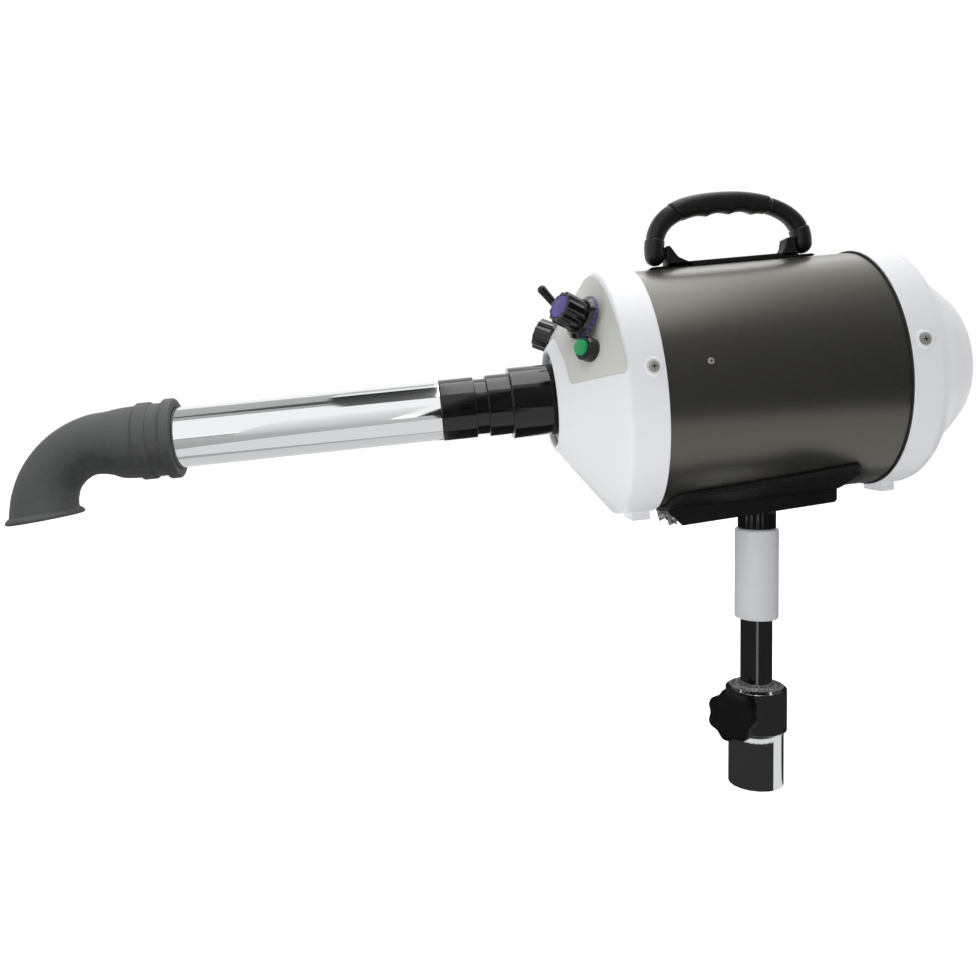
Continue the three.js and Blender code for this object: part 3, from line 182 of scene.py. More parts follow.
FLOOR_CARD = 0.0005
CEILING = 1.6
NEAR = -1.2  # where the room's front stands
DRUM_FLOOR_X = (-0.2, -0.05, 0.1, 1.3)
DRUM_CEILING_X = (-0.1, 0.05, 0.14, 0.3, 1.0)
LEVEL_CARDS = {
    # columns in x, near and far y, height, each column's tone on the near edge and on the far edge
    # what the extension tube mirrors
    "tube_ceiling": ((-1.4, -0.6), (-0.62, 1.1), CEILING, [0.41, 0.41], [0.5, 0.5]),
    "tube_wedge": ((-0.6, -0.365), (-0.95, 0.4), CEILING, [0.12, 0.16], [0.02, 0.03]),
    "tube_ceiling_far": ((-0.6, -0.365), (0.62, 1.2), CEILING, [0.8, 0.8], [0.35, 0.35]),
    "tube_floor": ((-1.3, -0.2), (NEAR, -0.02), FLOOR_CARD, [0.4, 0.6], [0.4, 0.41]),
    "tube_floor_near": ((-1.3, -0.62), (-3.0, NEAR), FLOOR_CARD, [0.4, 0.45], [0.4, 0.45]),
    "tube_floor_far": ((-1.3, -0.2), (-0.02, 1.2), FLOOR_CARD, [0.72, 0.62], [0.8, 0.8]),
    # what the coupling and the drum mirror: dim in front, bright above and behind
    "coupling_ceiling": ((-0.365, -0.1), (-0.78, 0.8), CEILING, [4.2, 4.2], [3.2, 3.2]),
    "coupling_floor": ((-0.215, -0.08), (NEAR, 1.2), FLOOR_CARD + 0.0003, [0.02, 0.02], [0.06, 0.06]),
    "drum_floor": (DRUM_FLOOR_X, (NEAR, 0.1), FLOOR_CARD, [0.15, 0.1, 0.05, 0.04], [2.8, 2.2, 0.15, 0.08]),
    "drum_floor_far": (DRUM_FLOOR_X, (0.1, 1.2), FLOOR_CARD, [2.8, 2.2, 0.15, 0.08], [4.0, 3.0, 0.3, 0.1]),
    "drum_ceiling": (
        DRUM_CEILING_X, (NEAR, -0.3), CEILING, [0.3, 0.3, 0.3, 0.2, 0.15], [1.3, 2.9, 2.3, 0.6, 0.3]),
    "drum_ceiling_far": (
        DRUM_CEILING_X, (-0.3, 1.5), CEILING, [1.3, 2.9, 2.3, 0.6, 0.3], [1.6, 2.6, 4.5, 3.6, 2.2]),
}
for name, (columns, depths, height, near_tones, far_tones) in LEVEL_CARDS.items():
    card(name, [(x, y, height) for y in depths for x in columns], near_tones + far_tones)
card("tube_wedge_tip", [(-1.0, -0.24, CEILING - 0.01), (-0.6, -0.36, CEILING - 0.01),
                        (-1.0, -0.16, CEILING - 0.01), (-0.6, 0.0, CEILING - 0.01)], [0.1] * 4)
FRONT_CARDS = {
    # range of x, top, tones at its foot from left to right, then at its top
    "tube_front": ((-0.62, -0.3), 0.85, [0.62, 0.58, 1.0, 0.9]),
    "coupling_front": ((-0.25, -0.14), CEILING, [0.02] * 4),
    "drum_front": ((-0.14, 0.5), CEILING, [0.13, 0.08, 0.3, 0.2]),
    "drum_front_far": ((0.5, 2.5), CEILING, [0.08, 0.02, 0.2, 0.02]),
}
for name, (columns, top, tones) in FRONT_CARDS.items():
    card(name, [(x, NEAR, z) for z in (0.0, top) for x in columns], tones)

# What the stand mirrors: a dark wall close round it, open on the right, with a slit for the rod.
CAMERA_TURN = atan2(-CAMERA_AT[0], -CAMERA_AT[1])


def round_card(name, degrees, low, high, tone, steps=16, low_degrees=None):
    """A part of a ring about the pole between two (radius, height) circles, 0 degrees towards the camera."""
    corners = []
    for (radius, height), (first, last) in ((low, low_degrees or degrees), (high, degrees)):
        for k in range(steps + 1):
            angle = radians(first + (last - first) * k / steps) - CAMERA_TURN
            corners.append((radius * sin(angle), -radius * cos(angle), height))
    card(name, corners, [tone] * len(corners))


STAND = 0.0225  # the cards on the floor start at this radius, just outside the pole
WALL = 0.1
OUT = 0.6
FOOT = 0.0012
OPEN = (70, 118)  # the opening on the right, in degrees
FULL = (0, 360)
GAP = (0.0127, 0.0165)  # the slit in front that lights the pole just under its collar
ROD_FROM = 0.056  # heights on the wall that the rod and its sleeve mirror
SLEEVE_FROM = 0.135
SLEEVE_TO = 0.222
DARK, BRIGHT = 0.03, 0.75
round_card("pole_floor", (OPEN[1], 360 + OPEN[0]), (STAND, FOOT), (WALL, FOOT), DARK,
           low_degrees=(OPEN[1] - 39, 360 + 39))
round_card("pole_wall", (OPEN[1], 360 + OPEN[0]), (WALL, FOOT), (WALL, GAP[0]), DARK)
round_card("pole_wall_back", (OPEN[1], 315), (WALL, GAP[0]), (WALL, GAP[1]), DARK)
round_card("open_floor", OPEN, (STAND, FOOT), (WALL, FOOT), BRIGHT, low_degrees=(39, 79))
round_card("gap_floor", (-60, 130), (WALL, FOOT), (OUT, FOOT), BRIGHT)
round_card("collar_wall", FULL, (WALL, GAP[1]), (WALL, ROD_FROM), 0.02, 48)
round_card("rod_wall", (14, 360), (WALL, ROD_FROM), (WALL, SLEEVE_FROM), 0.014, 48)
round_card("rod_slit", (0, 14), (WALL, ROD_FROM), (WALL, SLEEVE_FROM), 0.14, 4)
round_card("sleeve_wall", (40, 320), (WALL, SLEEVE_FROM), (WALL, SLEEVE_TO), 0.05, 48)


# ----------------------------------------
# Pole: a chromed steel tube, cut square, with a plastic plug in its foot. Chrome plate on a polished
# tube mirrors the room with almost no blur.
def filleted(corners, steps=6):
    """A closed outline of (along, radius, fillet) corners, with each fillet drawn as an arc."""
    outline = []
    for i, (along, radius, fillet) in enumerate(corners):
        here = Vector((along, radius))
        if not fillet:
            outline.append((along, radius))
            continue
        back = (Vector(corners[i - 1][:2]) - here).normalized()
        ahead = (Vector(corners[(i + 1) % len(corners)][:2]) - here).normalized()
        half = back.angle(ahead) / 2
        centre = here + (back + ahead).normalized() * fillet / sin(half)
        first = here + back * fillet / tan(half) - centre
        last = here + ahead * fillet / tan(half) - centre
        begin = atan2(first.y, first.x)
        sweep = remainder(atan2(last.y, last.x) - begin, 2 * pi)
        for k in range(steps + 1):
            angle = begin + sweep * k / steps
            outline.append((centre.x + fillet * cos(angle), centre.y + fillet * sin(angle)))
    return outline


WELD = 0.002  # mm; points closer than this become one


def make_piece(name, mesh_data, place, material, crease=30):
    """A named object at the origin from (points in mm, faces), moved by place, with its normals outwards."""
    points, faces = mesh_data
    mesh = bpy.data.meshes.new(name)
    mesh.from_pydata([place @ (Vector(p) * MM) for p in points], [], faces)
    form = bmesh.new()
    form.from_mesh(mesh)
    bmesh.ops.remove_doubles(form, verts=form.verts, dist=WELD * MM)
    bmesh.ops.recalc_face_normals(form, faces=form.faces)
    form.to_mesh(mesh)
    form.free()
    mesh.shade_smooth()
    mesh.set_sharp_from_angle(angle=radians(crease))
    mesh.materials.append(material)
    return new_object(name, mesh)


def held(outline, near=0.12, long_side=2.5):
    """The closed outline with a point near both ends of each long side, so that its shading stays even."""
    points = []
    for i, start in enumerate(outline):
        end = outline[(i + 1) % len(outline)]
        points.append(start)
        length = dist(start, end)
        if length > long_side:
            for share in (near / length, 1 - near / length):
                points.append(tuple(a + (b - a) * share for a, b in zip(start, end)))
    return points


def tube_outline(start, end, radius, wall):
    """The closed outline of a plain tube."""
    return [(start, radius), (end, radius), (end, radius - wall), (start, radius - wall)]


def turned(corners, facets=128):
    """Points and faces of an outline turned about local X: (along, radius) or (along, radius, fillet)."""
    outline = held(filleted(corners) if len(corners[0]) == 3 else corners)
    points = []
    for k in range(facets):
        angle = 2 * pi * k / facets
        points += [(along, radius * cos(angle), radius * sin(angle)) for along, radius in outline]
    count = len(outline)
    faces = []
    for k in range(facets):
        for i in range(count):
            a, b = k * count, (k + 1) % facets * count
            j = (i + 1) % count
            if outline[i][1] > 0 or outline[j][1] > 0:
                faces.append((a + i, b + i, b + j, a + j))
    return points, faces


def dress(obj, body, slot, *nodes):
    """The piece moves with that body and stands for those CAD nodes, which are hidden; slot is not used."""
    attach(obj, body)
    if nodes:
        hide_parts(*nodes)
    return obj


def add_piece(name, mesh_data, place, material, body, slot, *nodes, crease=30):
    """A piece that is made and dressed in one go."""
    return dress(make_piece(name, mesh_data, place, material, crease), body, slot, *nodes)


NOISE_ENDS = (0.3, 0.7)  # nearly all of the noise lies between these


def worn(name, code, smooth, rough, grain, metallic=0.0, bump=0.0, detail=3.0, specular=0.5):
    """A material of one colour, named for what it is and how it was finished. Its roughness wanders between
    two values over patches of grain mm, and the same patches rise by bump mm."""
    made = bpy.data.materials.new(name)
    tree = empty_tree(made)
    sockets = {"Base Color": srgb(code), "Metallic": metallic, "Specular IOR Level": specular}
    shader = add_node(tree, "ShaderNodeBsdfPrincipled", sockets)
    add_node(tree, "ShaderNodeOutputMaterial", {"Surface": shader.outputs[0]})
    place = add_node(tree, "ShaderNodeTexCoord").outputs["Object"]
    noise = add_node(
        tree, "ShaderNodeTexNoise", {"Vector": place, "Scale": 1 / (grain * MM), "Detail": detail})
    spread = add_node(tree, "ShaderNodeMapRange",
                      {"Value": noise.outputs[0], "From Min": NOISE_ENDS[0], "From Max": NOISE_ENDS[1],
                       "To Min": smooth, "To Max": rough})
    tree.links.new(spread.outputs[0], shader.inputs["Roughness"])
    if bump:
        relief = add_node(tree, "ShaderNodeBump", {"Height": noise.outputs[0], "Distance": bump * MM})
        tree.links.new(relief.outputs[0], shader.inputs["Normal"])
    return made


def finish_node(node, material):
    """A CAD node that stays as it is gets its real material."""
    node_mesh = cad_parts[node].data
    node_mesh.materials.clear()
    node_mesh.materials.append(material)


UP = Matrix.Rotation(-pi / 2, 4, "Y")  # local X along the pole
POLE_R = 22.2
POLE_BORE = 20.7
POLE_TOP = 59.3
POLE_EDGE = 0.3  # fillet of its cut ends

chrome = worn("chrome_plate", "#f0f1f2", 0.035, 0.07, 30, metallic=1.0)
add_piece(
    "pole",
    turned([
        (0, POLE_R, POLE_EDGE), (POLE_TOP, POLE_R, POLE_EDGE), (POLE_TOP, POLE_BORE, 0),
        (0, POLE_BORE, POLE_EDGE),
    ]),
    UP, chrome, "stand", "chrome", "pole_tube",
)

# Nylon from a textured mould: matt, with a weak broad light. The texture is drawn coarser to show.
moulded_black = worn("moulded_black_nylon", "#131314", 0.42, 0.6, 1.2, bump=0.015, specular=0.3)
finish_node("pole_end_plug", moulded_black)


# ----------------------------------------
# Collar: a chromed steel ring on the pole's top, with a chamfered mouth and a boss that holds the clamp
# screw's thread. The rod slides in a bush inside it, whose speckled cast rim shows at the top.
COLLAR_R = 24.7
COLLAR_BOTTOM = 45.6
COLLAR_TOP = 81.0
BUSH_R = 17.0
ROD_BORE = 13.2
CLAMP_HEIGHT = 64.0
CLAMP_TURN = radians(50)
FIT = 0.3  # between parts that fit in each other
LEDGE = COLLAR_BOTTOM + 14  # the pole ends under it and the bush stands on it
SCREW_BORE = 4.3
BOSS_R = 8.0
BOSS_END = 29.0  # its distance from the pole's axis

collar = add_piece(
    "collar",
    turned([
        (COLLAR_BOTTOM, POLE_R + FIT, 0), (COLLAR_BOTTOM, COLLAR_R, 0.5), (COLLAR_TOP - 2.2, COLLAR_R, 0.7),
        (COLLAR_TOP, COLLAR_R - 2.6, 0.5), (COLLAR_TOP, BUSH_R + 1.9, 0.4),
        (COLLAR_TOP - 1.8, BUSH_R + FIT, 0), (LEDGE, BUSH_R + FIT, 0), (LEDGE, POLE_R + FIT, 0),
    ]),
    UP, chrome, "stand", "chrome", "pole_collar",
)


def paint_faces(obj, material, chosen):
    """Faces whose centre and normal pass the test take that material."""
    obj.data.materials.append(material)
    for face in obj.data.polygons:
        if chosen(face.center, face.normal):
            face.material_index = len(obj.data.materials) - 1


clamp_out = Vector((-sin(CLAMP_TURN), -cos(CLAMP_TURN), 0))
clamp_turn = clamp_out.to_track_quat("X", "Z").to_matrix().to_4x4()
CLAMP = Matrix.Translation((0, 0, CLAMP_HEIGHT * MM)) @ clamp_turn
add_piece(
    "clamp_boss",
    turned([
        (POLE_R + 1, SCREW_BORE, 0), (POLE_R + 1, BOSS_R, 0), (BOSS_END, BOSS_R, 1.0),
        (BOSS_END, SCREW_BORE, 0.3),
    ], 48),
    CLAMP, chrome, "stand", "chrome",
)


def mottle(material, dark, light, ends, lift=None, depth=0.35):
    """The patches of a worn material also set its colour, from dark to light between two ends of their
    range. With lift, an attribute of the mesh is added and the patches take only that depth of the range."""
    tree = material.node_tree
    share = tree.nodes["Noise Texture"].outputs[0]
    if lift:
        lifted = add_node(tree, "ShaderNodeAttribute", attribute_name=lift).outputs["Fac"]
        share = add_node(tree, "ShaderNodeMath", {0: share, 1: depth, 2: lifted},
                         operation="MULTIPLY_ADD").outputs[0]
    ramp = add_node(tree, "ShaderNodeValToRGB", {"Fac": share})
    for stop, code, position in zip(ramp.color_ramp.elements, (dark, light), ends):
        stop.position = position
        stop.color = srgb(code)
    tree.links.new(ramp.outputs[0], tree.nodes["Principled BSDF"].inputs["Base Color"])


# Cast zinc with its plating worn off in specks, which glitter in the light from above.
speckled_zinc = worn("speckled_cast_zinc", "#8d8e8c", 0.3, 0.5, 1.6, metallic=0.3, bump=0.3, detail=5.0)
mottle(speckled_zinc, "#4a4c4a", "#d0d1cd", (0.38, 0.62))
add_piece(
    "collar_bush",
    turned([
        (LEDGE + FIT, ROD_BORE, 0), (LEDGE + FIT, BUSH_R, 0), (COLLAR_TOP - 2, BUSH_R, 0),
        (COLLAR_TOP - 0.6, BUSH_R + 1.2, 0.4), (COLLAR_TOP + 0.9, BUSH_R + 0.6, 0.5),
        (COLLAR_TOP + 1.2, ROD_BORE + 1, 0.3), (COLLAR_TOP, ROD_BORE, 0),
    ], 96),
    UP, speckled_zinc, "stand", "black_plastic", "collar_bush",
)
# The collar's level top is rubbed like the bush.
paint_faces(
    collar, speckled_zinc, lambda centre, normal: normal.z > 0.9 and centre.z > (COLLAR_TOP - 1) * MM)


# ----------------------------------------
# Clamp knob: moulded in matt black nylon with seven finger lobes, on a zinc-plated screw that presses
# a rubber pad on the rod.
KNOB_LOBES = 7
KNOB_R = 21.1
KNOB_LOBE_DEPTH = 2.9
KNOB_FROM = 33.0  # along the screw
KNOB_SECTIONS = [
    # along, how far inside the lobes
    (KNOB_FROM, 9), (33.4, 1.6), (35, 0), (39.5, 0), (42.2, 1.2), (43.6, 3.4), (44.4, 7), (44.9, 12),
    (45, 16),
]


def loft(rings, closed=True):
    """Points and faces through rings of points, with flat ends."""
    count = len(rings[0])
    points = [p for ring in rings for p in ring]
    faces = []
    for k in range(len(rings) - 1):
        for i in range(count):
            a, b = k * count + i, k * count + (i + 1) % count
            faces.append((a, b, b + count, a + count))
    if closed:
        faces.append(tuple(range(count))[::-1])
        faces.append(tuple(range(len(points) - count, len(points))))
    return points, faces


def lobed(radius, depth, count, sections, facets=168, sharpness=1.0):
    """Points and faces of a fluted solid: sections are (along, inset) pairs from end to end."""
    rings = []
    for along, inset in sections:
        ring = []
        for k in range(facets):
            angle = 2 * pi * k / facets
            dip = (0.5 - 0.5 * cos(count * angle)) ** sharpness
            reach = max(radius - inset - depth * dip * max(0.0, 1 - inset / radius), 0.0)
            ring.append((along, reach * cos(angle), reach * sin(angle)))
        rings.append(ring)
    return loft(rings)


def rounded_ends(start, end, fillet, steps=5):
    """(along, inset) sections of a solid whose two end edges are rounded."""
    arc = [pi / 2 * k / steps for k in range(steps + 1)]
    first = [(start + fillet * (1 - sin(a)), fillet * (1 - cos(a))) for a in arc[::-1]]
    last = [(end - fillet * (1 - sin(a)), fillet * (1 - cos(a))) for a in arc]
    return first + last


add_piece(
    "clamp_knob", lobed(KNOB_R, KNOB_LOBE_DEPTH, KNOB_LOBES, KNOB_SECTIONS),
    CLAMP, moulded_black, "clamp", "black_plastic", "clamp_knob", crease=60,
)
add_piece(
    "clamp_hub",
    turned([
        (BOSS_END + 0.6, SCREW_BORE, 0), (BOSS_END + 0.6, 7.4, 0.6), (KNOB_FROM, 9, 0),
        (KNOB_FROM, SCREW_BORE, 0),
    ], 48),
    CLAMP, moulded_black, "clamp", "black_plastic",
)

# Zinc plate on turned steel: a cool grey metal with soft, uneven mirrors.
zinc = worn("zinc_plated_steel", "#a4a8ab", 0.22, 0.38, 4, metallic=1.0)
# Moulded rubber: nearly no shine, and greyer where light grazes it.
rubber = worn("black_rubber", "#232324", 0.6, 0.8, 1.5, bump=0.02)
finish_node("clamp_screw", zinc)
finish_node("clamp_pad", rubber)


# ----------------------------------------
# Lift rod: a chromed tube that slides in the pole, with a nylon guide on its lower end and a grey-white
# plastic sleeve on its upper end.
ROD_R = 12.9
ROD_BOTTOM = 16.0
ROD_TOP = 196.0
ROD_WALL = 1.6
SLEEVE_R = 17.7
SLEEVE_BOTTOM = 136.0
SLEEVE_TOP = 210.0

add_piece(
    "lift_rod", turned(tube_outline(ROD_BOTTOM, ROD_TOP, ROD_R, ROD_WALL), 96),
    UP, chrome, "lift", "chrome", "lift_rod",
)
finish_node("rod_guide", moulded_black)

# Moulded polypropylene: smooth and faintly waxy, with one soft light along it.
sleeve_white = worn("grey_white_polypropylene", "#d2d3d6", 0.27, 0.33, 20)
add_piece(
    "rod_sleeve",
    turned([
        (SLEEVE_BOTTOM, ROD_BORE, 0.3), (SLEEVE_BOTTOM, SLEEVE_R, 2.2), (SLEEVE_TOP, SLEEVE_R, 2.2),
        (SLEEVE_TOP, ROD_BORE + 1.4, 0.3), (SLEEVE_TOP - 1, ROD_BORE, 0),
    ], 96),
    UP, sleeve_white, "lift", "grey_plastic", "rod_sleeve",
)


# ----------------------------------------
# Swivel bush: moulded in glossy black ABS with fine flutes, turning in the sleeve's mouth. A steel tongue
# stands in it and carries the head on a pin.
SWIVEL_R = 15.4
SWIVEL_TOP = 224.0
SWIVEL_FLUTES = 26
SWIVEL_FLUTE_DEPTH = 0.5
SWIVEL_SECTIONS = rounded_ends(SLEEVE_TOP + FIT, SWIVEL_TOP, 0.5)

# ABS from a polished mould: sharp, bright reflections on black.
gloss_black = worn("glossy_black_abs", "#0b0b0c", 0.08, 0.15, 12)
add_piece(
    "swivel_bush", lobed(SWIVEL_R, SWIVEL_FLUTE_DEPTH, SWIVEL_FLUTES, SWIVEL_SECTIONS, 208, 0.6),
    UP, gloss_black, "swivel", "gloss_black", "swivel_bush",
)
finish_node("tilt_tongue", zinc)


# ----------------------------------------
# Rail: a black powder-coated steel cradle welded of a saddle that hugs the drum and two skirts that make
# a narrow channel, with a bright steel channel inside and a pin across it.
PIN_HEIGHT = 229.3
AXIS_RISE = 103.0
HEAD_TILT = radians(6.08)
HEAD = (
    Matrix.Translation((0, 0, PIN_HEIGHT * MM))
    @ Matrix.Rotation(-HEAD_TILT, 4, "Y")
    @ Matrix.Translation((0, 0, AXIS_RISE * MM))
)
DRUM_R = 95.0
SADDLE_R = DRUM_R + 0.6
SADDLE_THICK = 3.0
SADDLE_FRONT = (-82.7, 31.0)  # along the drum, and half angle in degrees
SADDLE_BACK = (64.0, 41.5)
SADDLE_HOLLOW = 9.0  # its back edge runs in by this much in the middle
SADDLE_LIP = (1.3, 2.5, 1.6)  # height, distance from the edge and width of the rolled lip along both edges


def round_drum(along, radius, degrees):
    """A point on a circle about the drum's axis: 0 faces the camera side, 90 is the top."""
    angle = radians(degrees)
    return (along, -radius * cos(angle), radius * sin(angle))


def saddle_rings(steps=40, stations=60, corner=8.0):
    """Sections of the saddle from front to back: it widens, its corners are round and its edges thin out."""
    rings = []
    tall, inset, wide = SADDLE_LIP
    length = SADDLE_BACK[0] - SADDLE_FRONT[0]
    for k in range(stations + 1):
        share = 0.5 - 0.5 * cos(pi * k / stations)
        to_end = min(share, 1 - share) * length
        trim = corner - sqrt(max(corner**2 - max(corner - to_end, 0) ** 2, 0))
        half = SADDLE_FRONT[1] + (SADDLE_BACK[1] - SADDLE_FRONT[1]) * share
        half -= trim / DRUM_R / radians(1)
        outer, inner = [], []
        for i in range(steps + 1):
            angle = -90 - half + 2 * half * i / steps
            edge = radians(min(i, steps - i) * 2 * half / steps) * SADDLE_R
            lip = tall * exp(-((edge - inset) / wide) ** 2)
            along = SADDLE_FRONT[0] + (length - SADDLE_HOLLOW * (1 - (2 * i / steps - 1) ** 2)) * share
            thick = SADDLE_THICK * min(1.0, 0.45 + edge / 4.5)
            outer.append(round_drum(along, SADDLE_R + thick + lip, angle))
            inner.append(round_drum(along, SADDLE_R, angle))
        rings.append(outer + inner[::-1])
    return rings


# Baked powder: its fine orange-peel skin breaks reflections up, so that it stays deep black.
powder_black = worn("black_powder_coat", "#141415", 0.45, 0.6, 0.8, bump=0.012, specular=0.18)
saddle = add_piece(
    "cradle_saddle", loft(saddle_rings()),
    HEAD, powder_black, "head", "black_paint", "cradle_rail", crease=50,
)
# Powder coat with a painted highlight: a pale, half-glossy line painted along the crest of each lip, where a
# light line is reflected.
lip_highlight_paint = worn("powder_coat_painted_highlight", "#6b6a66", 0.25, 0.4, 2)
from_axis = HEAD.inverted()
LIP_HIGHLIGHT_FROM = SADDLE_R + SADDLE_THICK + 0.75  # faces of the lip's crest beyond this get the painted highlight
paint_faces(saddle, lip_highlight_paint, lambda centre, normal: (from_axis @ centre).yz.length > LIP_HIGHLIGHT_FROM * MM)

SKIRT_OUTLINE = [
    # along, up, fillet
    (-80.5, -93, 0), (-80.5, -97, 2), (-69, -110.6, 2), (60.6, -106.3, 3.5), (62.2, -90, 0),
]
SKIRT_THICK = 2.5
SKIRTS = {"near": -18.5, "far": 16.0}  # local Y of the face towards the camera


def plate(outline, low, high):
    """Points and faces of an outline of (along, up), extruded in local Y from low to high."""
    count = len(outline)
    points = [(a, low, z) for a, z in outline] + [(a, high, z) for a, z in outline]
    faces = [tuple(range(count)), tuple(range(count, 2 * count))[::-1]]
    faces += [(i, i + count, (i + 1) % count + count, (i + 1) % count) for i in range(count)]
    return points, faces


def soften(obj, width, segments=3):
    """The piece with its sharp edges rounded by a bevel of that width in mm."""
    bevel = obj.modifiers.new("soften", "BEVEL")
    bevel.width = width * MM
    bevel.segments = segments
    bevel.limit_method = "ANGLE"
    return obj


for side, low in SKIRTS.items():
    skirt = make_piece(
        "rail_skirt_" + side, plate(filleted(SKIRT_OUTLINE), low, low + SKIRT_THICK), HEAD, powder_black)
    dress(soften(skirt, 0.7), "head", "black_paint")

# Bright rolled sheet with dents: patches of light and dark side by side.
bright_sheet = worn("bright_rumpled_sheet", "#d8d9d9", 0.18, 0.3, 5, metallic=1.0, bump=1.2, detail=1.0)
INSERT_HALF = 15.7
INSERT_TOP = -99.2
INSERT_END = 54
INSERT_SLOT = 12.5  # half the gap that lets the tongue through


def channel_ring(top, bottom, wall=1.4):
    """A U section across the rail, open below; the lower ends may stand further along than its top."""
    (low, height), half, roof = bottom, INSERT_HALF, INSERT_TOP
    outer = [(low, -half, height), (top, -half, roof), (top, half, roof), (low, half, height)]
    inner = [(low, half - wall, height), (top, half - wall, roof - wall), (top, wall - half, roof - wall),
             (low, wall - half, height)]
    return outer + inner


INSERT_PARTS = {
    # for each section: where its top stands, then where its lower edges stand and how high
    "rail_insert": [(-81, (-79, -109.6)), (-74, (-72, -107)), (-INSERT_SLOT, (-INSERT_SLOT, -106))],
    "rail_insert_back": [(INSERT_SLOT, (INSERT_SLOT, -106)), (INSERT_END, (INSERT_END, -106))],
}
for name, stations in INSERT_PARTS.items():
    add_piece(
        name, loft([channel_ring(top, bottom) for top, bottom in stations]),
        HEAD, bright_sheet, "head", "steel", *(["rail_insert"] if name == "rail_insert" else []),
    )
TAB_HALF = 15.4
# along, up: the bent front end of the channel
TAB_LINE = [(-81.8, -95.0), (-79.6, -101.5), (-75.2, -107.0), (-73.2, -109.4)]
tab = loft([
    [(x, -TAB_HALF, z), (x + 1.2, -TAB_HALF, z + 0.3), (x + 1.2, TAB_HALF, z + 0.3), (x, TAB_HALF, z)]
    for x, z in TAB_LINE
])
add_piece("rail_insert_end", tab, HEAD, bright_sheet, "head", "steel", crease=20)
PIN_HALF = 18.4
PIN_R = 3.0
add_piece(
    "tilt_pin",
    turned([(-PIN_HALF, 0, 0), (-PIN_HALF, PIN_R, 0.4), (PIN_HALF, PIN_R, 0.4), (PIN_HALF, 0, 0)], 32),
    HEAD @ Matrix.Translation((0, 0, -AXIS_RISE * MM)) @ Matrix.Rotation(pi / 2, 4, "Z"), zinc,
    "head", "steel", "tilt_pin",
)


# ----------------------------------------
# Drum: rolled steel sheet, sprayed in a satin dark bronze with a fine metal flake. The flake spreads a
# reflection into a broad soft band, and is drawn coarser than it is.
DRUM_FRONT = -91.0
DRUM_REAR = 93.3
DRUM_WALL = 1.5
TUCK = 12.0  # its ends run this far into the covers
SEAL_R = 96.4

bronze = worn("satin_bronze_paint", "#64635d", 0.27, 0.33, 0.7, metallic=0.9, bump=0.01)
add_piece(
    "drum", turned(tube_outline(DRUM_FRONT - TUCK, DRUM_REAR + TUCK, DRUM_R, DRUM_WALL), 192),
    HEAD, bronze, "head", "bronze_paint", "drum_shell",
)
add_piece(
    "rear_seal",
    turned([
        (DRUM_REAR - 1.3, DRUM_R + 0.2, 0), (DRUM_REAR - 1.3, SEAL_R, 0.3), (DRUM_REAR - 0.1, SEAL_R, 0),
        (DRUM_REAR - 0.1, DRUM_R + 0.2, 0),
    ], 160),
    HEAD, rubber, "head", "rubber", "rear_seal",
)


# ----------------------------------------
# Nose: one white ABS moulding, a cone with a soft shoulder and a rolled rim round the outlet, screwed to
# the drum. Injection-moulded ABS has a low, even sheen.
COVER_R = 97.4
CONE_START = (-157.6, 45.9)  # along, radius
CONE_SLOPE = 1.355
CONE_TILT = atan(CONE_SLOPE)
RIM_FRONT = -163.0
OUTLET_FACE = -157.5
RING_R = 36.2
RING_BORE = 28.5
RING_BACK = OUTLET_FACE + 17


def cone_radius(along):
    """The radius of the cone's skin at that place along the body."""
    return CONE_START[1] + CONE_SLOPE * (along - CONE_START[0])


shoulder_at = CONE_START[0] + (COVER_R - CONE_START[1]) / CONE_SLOPE
nose_outline = filleted([
    (DRUM_FRONT, DRUM_R + FIT, 0), (DRUM_FRONT, COVER_R, 0.6), (shoulder_at, COVER_R, 6),
    (-161.4, cone_radius(-161.4), 3.2), (RIM_FRONT, 38.4, 2.2), (RIM_FRONT + 4, RING_R + FIT, 2),
    (OUTLET_FACE + 14, RING_R + FIT, 0), (OUTLET_FACE + 14, RING_R + 2.7, 0), (-158, RING_R + 2.7, 0),
    (shoulder_at + 1, COVER_R - 3.6, 6), (DRUM_FRONT - TUCK - FIT, DRUM_R - DRUM_WALL, 0),
    (DRUM_FRONT - TUCK - FIT, DRUM_R + FIT, 0),
], 10)
white_abs = worn("white_moulded_abs", "#e6e7e9", 0.32, 0.4, 6, bump=0.012)
add_piece(
    "nose", turned(nose_outline, 192),
    HEAD, white_abs, "head", "white_plastic", "front_cover", crease=35,
)

# A plain grey, darker than the white cover round it, and without clear reflections.
ring_grey = worn("grey_moulded_abs", "#a9aaa3", 0.45, 0.55, 5)
add_piece(
    "outlet_ring",
    turned([
        (OUTLET_FACE, RING_BORE, 0.4), (OUTLET_FACE, RING_R, 0.3), (RING_BACK, RING_R, 0),
        (RING_BACK, RING_BORE, 0),
    ], 128),
    HEAD, ring_grey, "head", "grey_plastic", "outlet_ring",
)


# ----------------------------------------
# Tail: a white ABS moulding with two soft domes, one on the other. It is open behind, where the intake
# grille closes it.
TAIL_R = 96.9
TAIL_WALL = 2.6
TAIL_SKIN = [
    # behind the drum, radius: the big dome, the step and the small dome up to the grille's rim
    (22, TAIL_R), (26.5, 95.6), (30.5, 92.6), (36, 86.2), (42, 79.6), (48, 73.6), (54, 68.6), (58.3, 65.5),
    (60.3, 63.7), (63, 61.6), (69, 56.8), (73.5, 52.4), (78, 45.5), (80.5, 39.5),
]


